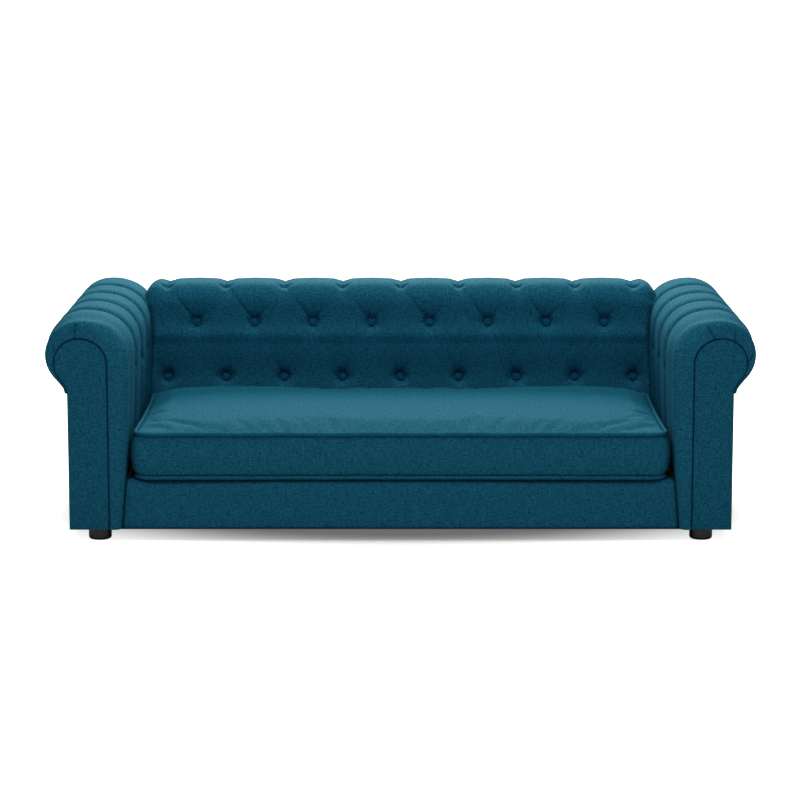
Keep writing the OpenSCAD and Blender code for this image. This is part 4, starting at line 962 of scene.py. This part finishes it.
def filled(piece, co):
    """Where the cover's points come to lie when a cloth simulation blows it up, held at its seams."""
    held = (co[:, 2] <= SEAM_LOW + 0.2) | (np.abs(co[:, 2] - SEAM_HIGH) < 0.05)
    group = piece.vertex_groups.new(name="seams")
    group.add([int(k) for k in np.nonzero(held)[0]], 1.0, "REPLACE")
    select(piece)
    blow = piece.modifiers.new("Filling", "CLOTH")
    blow.settings.quality = 6
    blow.settings.mass = 0.25
    blow.settings.tension_stiffness = blow.settings.compression_stiffness = 18
    blow.settings.shear_stiffness = 8
    blow.settings.bending_stiffness = 0.8
    blow.settings.vertex_group_mass = "seams"
    blow.settings.use_pressure = True
    blow.settings.uniform_pressure_force = 4
    blow.settings.shrink_min = -0.012
    blow.settings.effector_weights.gravity = 0
    blow.collision_settings.use_collision = False
    for number in range(1, 21):
        bpy.context.scene.frame_set(number)
    bpy.ops.object.modifier_apply(modifier=blow.name)
    bpy.context.scene.frame_set(1)
    piece.vertex_groups.clear()
    move = points_of(piece) - co
    far = np.linalg.norm(move, axis=1)[:, None]
    return co + move * np.minimum(1, FILL_PUSH / np.maximum(far, 1e-6))


def cushion():
    """The filled cover of the cushion, with slack wrinkles."""
    piece = sewn_cover()
    co = points_of(piece)
    co = filled(piece, co)
    # Wrinkles that lie across the front edge and the corners
    rng = np.random.default_rng(12)
    lift = np.zeros(len(co))
    for _ in range(46):
        cx, cy = rng.uniform(-400, 400), rng.choice([-262, -262, -262, 100]) + rng.uniform(-8, 30)
        length, width, lean = rng.uniform(14, 42), rng.uniform(3, 8), rng.normal(0, 0.5)
        lift += rng.uniform(-0.35, 0.35) * wrinkle(co[:, 0] - cx, co[:, 1] - cy, length, width, lean)
    co[:, 2] += lift * smooth((co[:, 2] - SEAM_HIGH) / 2.0)
    # Slow waves in the front border
    waves = 0.8 * np.sin(co[:, 0] / 31 + 2 * np.sin(co[:, 0] / 77))
    waves *= np.sin((co[:, 2] - SEAM_LOW) / (SEAM_HIGH - SEAM_LOW) * math.pi)
    on_border = (co[:, 2] > SEAM_LOW + 1) & (co[:, 2] < SEAM_HIGH - 1) & (co[:, 1] < -255)
    co[:, 1] += waves * on_border
    place_points(piece, co)
    apply_modifier(piece, "SUBSURF", levels=1, render_levels=1)
    smooth_shading(piece, 60)
    finish_piece(piece, "cushion_filled_cover", "cushion", "cover_fabric", ["cushion_cover"])


def piping(name, seam, up, node):
    """Cloth-covered cord sewn round one seam of the cushion."""
    cx, cy, r = CUSHION_HX - CUSHION_R, CUSHION_HY - CUSHION_R, CUSHION_R
    corners = [arc(cx * a, cy * b, r, r, start, start + 90, 24)
               for a, b, start in ((1, 1, 0), (-1, 1, 90), (-1, -1, 180), (1, -1, 270))]
    path = np.concatenate(corners + [corners[0][:1]])
    run = way_along(path)
    s = np.linspace(0, run[-1], 420)
    xd, yd = drawn_in(*places_at(s, run, path).T)
    t = np.stack([np.gradient(xd), np.gradient(yd)], 1)
    t[0] = t[-1] = t[0] + t[-1]
    t /= np.linalg.norm(t, axis=1)[:, None]
    wobble = PIPING_WOBBLE * np.sin(s / run[-1] * 2 * math.pi * 17) * (1 if up > 0 else 0.3)
    rounds = np.linspace(0, 2 * math.pi, 13)[:, None]
    stand = PIPING_OUT + PIPING_R * np.cos(rounds)
    z = seam + up * PIPING_UP + wobble + PIPING_R * np.sin(rounds)
    flat = np.stack(np.broadcast_arrays(s, rounds * PIPING_R), 2)
    piece = lattice(np.stack([xd + t[:, 1] * stand, yd - t[:, 0] * stand, z], 2), flat, turn=True)
    merge_doubles(piece)
    edit(piece, lambda: bpy.ops.mesh.normals_make_consistent(inside=False))
    smooth_shading(piece, 80)
    finish_piece(piece, name, "cushion", "trim_fabric", [node])


# Floor, light and camera

def photo_view():
    select()
    bpy.ops.object.camera_add(location=EYE, rotation=(math.radians(EYE_TILT), 0, 0))
    camera = bpy.context.object
    camera.name = "photo_view"
    camera.data.sensor_width, camera.data.lens = SENSOR, LENS
    bpy.context.scene.camera = camera


def studio_floor():
    """A white floor that shows the sofa's shadow, with painted shade added round the sofa: its white
    glow for the camera is weak near the sofa and full away from it.
    """
    bpy.ops.mesh.primitive_plane_add(size=14, location=(0, 0, 0))
    floor = bpy.context.object
    floor.name = "studio_floor"
    material, tree, skin = new_material("white_studio_floor")
    seen = add(tree, "ShaderNodeLightPath").outputs["Is Camera Ray"]
    where = add(tree, "ShaderNodeTexCoord").outputs["Object"]
    narrowed = add(tree, "ShaderNodeMapping", Vector=where, Scale=(0.55, 1, 1)).outputs[0]
    away = add(tree, "ShaderNodeVectorMath", {"operation": "LENGTH"}, i0=narrowed).outputs["Value"]
    # Painted shadow: the white glow that the camera sees fades down towards the sofa, so the floor there
    # is darker whatever the light
    fade = add(tree, "ShaderNodeMapRange", {"interpolation_type": "SMOOTHSTEP"}, Value=away,
               From_Min=0.21, From_Max=0.40, To_Min=0.15, To_Max=1.0).outputs["Result"]
    skin.inputs["Base Color"].default_value = (0.8, 0.8, 0.8, 1)
    skin.inputs["Roughness"].default_value = 1.0
    skin.inputs["Specular IOR Level"].default_value = 0.0
    skin.inputs["Emission Color"].default_value = (1, 1, 1, 1)
    tree.links.new(maths(tree, "MULTIPLY", seen, fade), skin.inputs["Emission Strength"])
    floor.data.materials.append(material)


def studio_room():
    """A white room, bright where it is seen or mirrored, that lights the sofa only a little."""
    world = bpy.data.worlds.new("studio_white")
    bpy.context.scene.world = world
    world.use_nodes = True
    tree = world.node_tree
    path = add(tree, "ShaderNodeLightPath").outputs
    seen = maths(tree, "MAXIMUM", path["Is Camera Ray"], path["Is Glossy Ray"])
    seen = maths(tree, "MAXIMUM", seen, path["Is Transmission Ray"])
    back = tree.nodes["Background"]
    back.inputs["Color"].default_value = (1, 1, 1, 1)
    level = maths(tree, "ADD", maths(tree, "MULTIPLY", seen, 1 - ROOM_LIGHT), ROOM_LIGHT)
    tree.links.new(level, back.inputs["Strength"])


def studio_lamps():
    for name, place, tilt, size, power, tint in SOFTBOXES:
        bpy.ops.object.light_add(type="AREA", location=place, rotation=(math.radians(tilt), 0, 0))
        lamp = bpy.context.object
        lamp.name = name
        lamp.data.color = tint
        lamp.data.shape, lamp.data.energy = "RECTANGLE", power
        lamp.data.size, lamp.data.size_y = size


def finish_nodes():
    """Gives each solid of the frame that stays in sight the finish of its slot."""
    slots = {part["node"]: part["material_slot"] for part in frame["record"]["subparts"]}
    for name, piece in frame["nodes"].items():
        if not piece.hide_render:
            piece.data.materials.clear()
            piece.data.materials.append(FINISHES[slots[name]])


photo_view()
studio_floor()
studio_room()
studio_lamps()
bpy.context.scene.view_settings.view_transform = "Standard"

for side in (-1, 1):
    arm_pad(side)
    arm_facing(side)
    arm_rear_cover(side)
    stretched_cloth(f"arm_outer_cloth_{HANDS[side]}", (side * ARM_SIDE_X, FACING_REAR_Y, FLOOR_EDGE_Z),
                    (0, REAR_Y - FACING_REAR_Y, 0), (0, 0, THROAT_Z - FLOOR_EDGE_Z), (90, 40),
                    COVER_CLOTH, (side, 0, 0), f"arm_outer_cover_{HANDS[side]}")
back_ends(*back_pad())
low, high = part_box("back_outer_cover")
stretched_cloth("back_outer_cloth", (low[0] / MM, REAR_Y, FLOOR_EDGE_Z), ((high[0] - low[0]) / MM, 0, 0),
                (0, 0, THROAT_Z - FLOOR_EDGE_Z), (160, 40), COVER_CLOTH, (0, 1, 0),
                "back_outer_cover")
low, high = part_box("dust_cover")
stretched_cloth("stapled_dust_cloth", (low[0] / MM, low[1] / MM, low[2] / MM),
                ((high[0] - low[0]) / MM, 0, 0), (0, (high[1] - low[1]) / MM, 0), (160, 80),
                DUST_CLOTH, (0, 0, -1), "dust_cover", slot="dust_cloth")
rail_cover()
cushion()
piping("cushion_piping_cord_top", SEAM_HIGH, 1, "cushion_piping_top")
piping("cushion_piping_cord_bottom", SEAM_LOW, -1, "cushion_piping_bottom")
soft_block("seat_felt", "deck_pad", "sofa", "felt", 2.0)
soft_block("cushion_foam", "cushion_core", "cushion", "foam", 4.0)
finish_nodes()
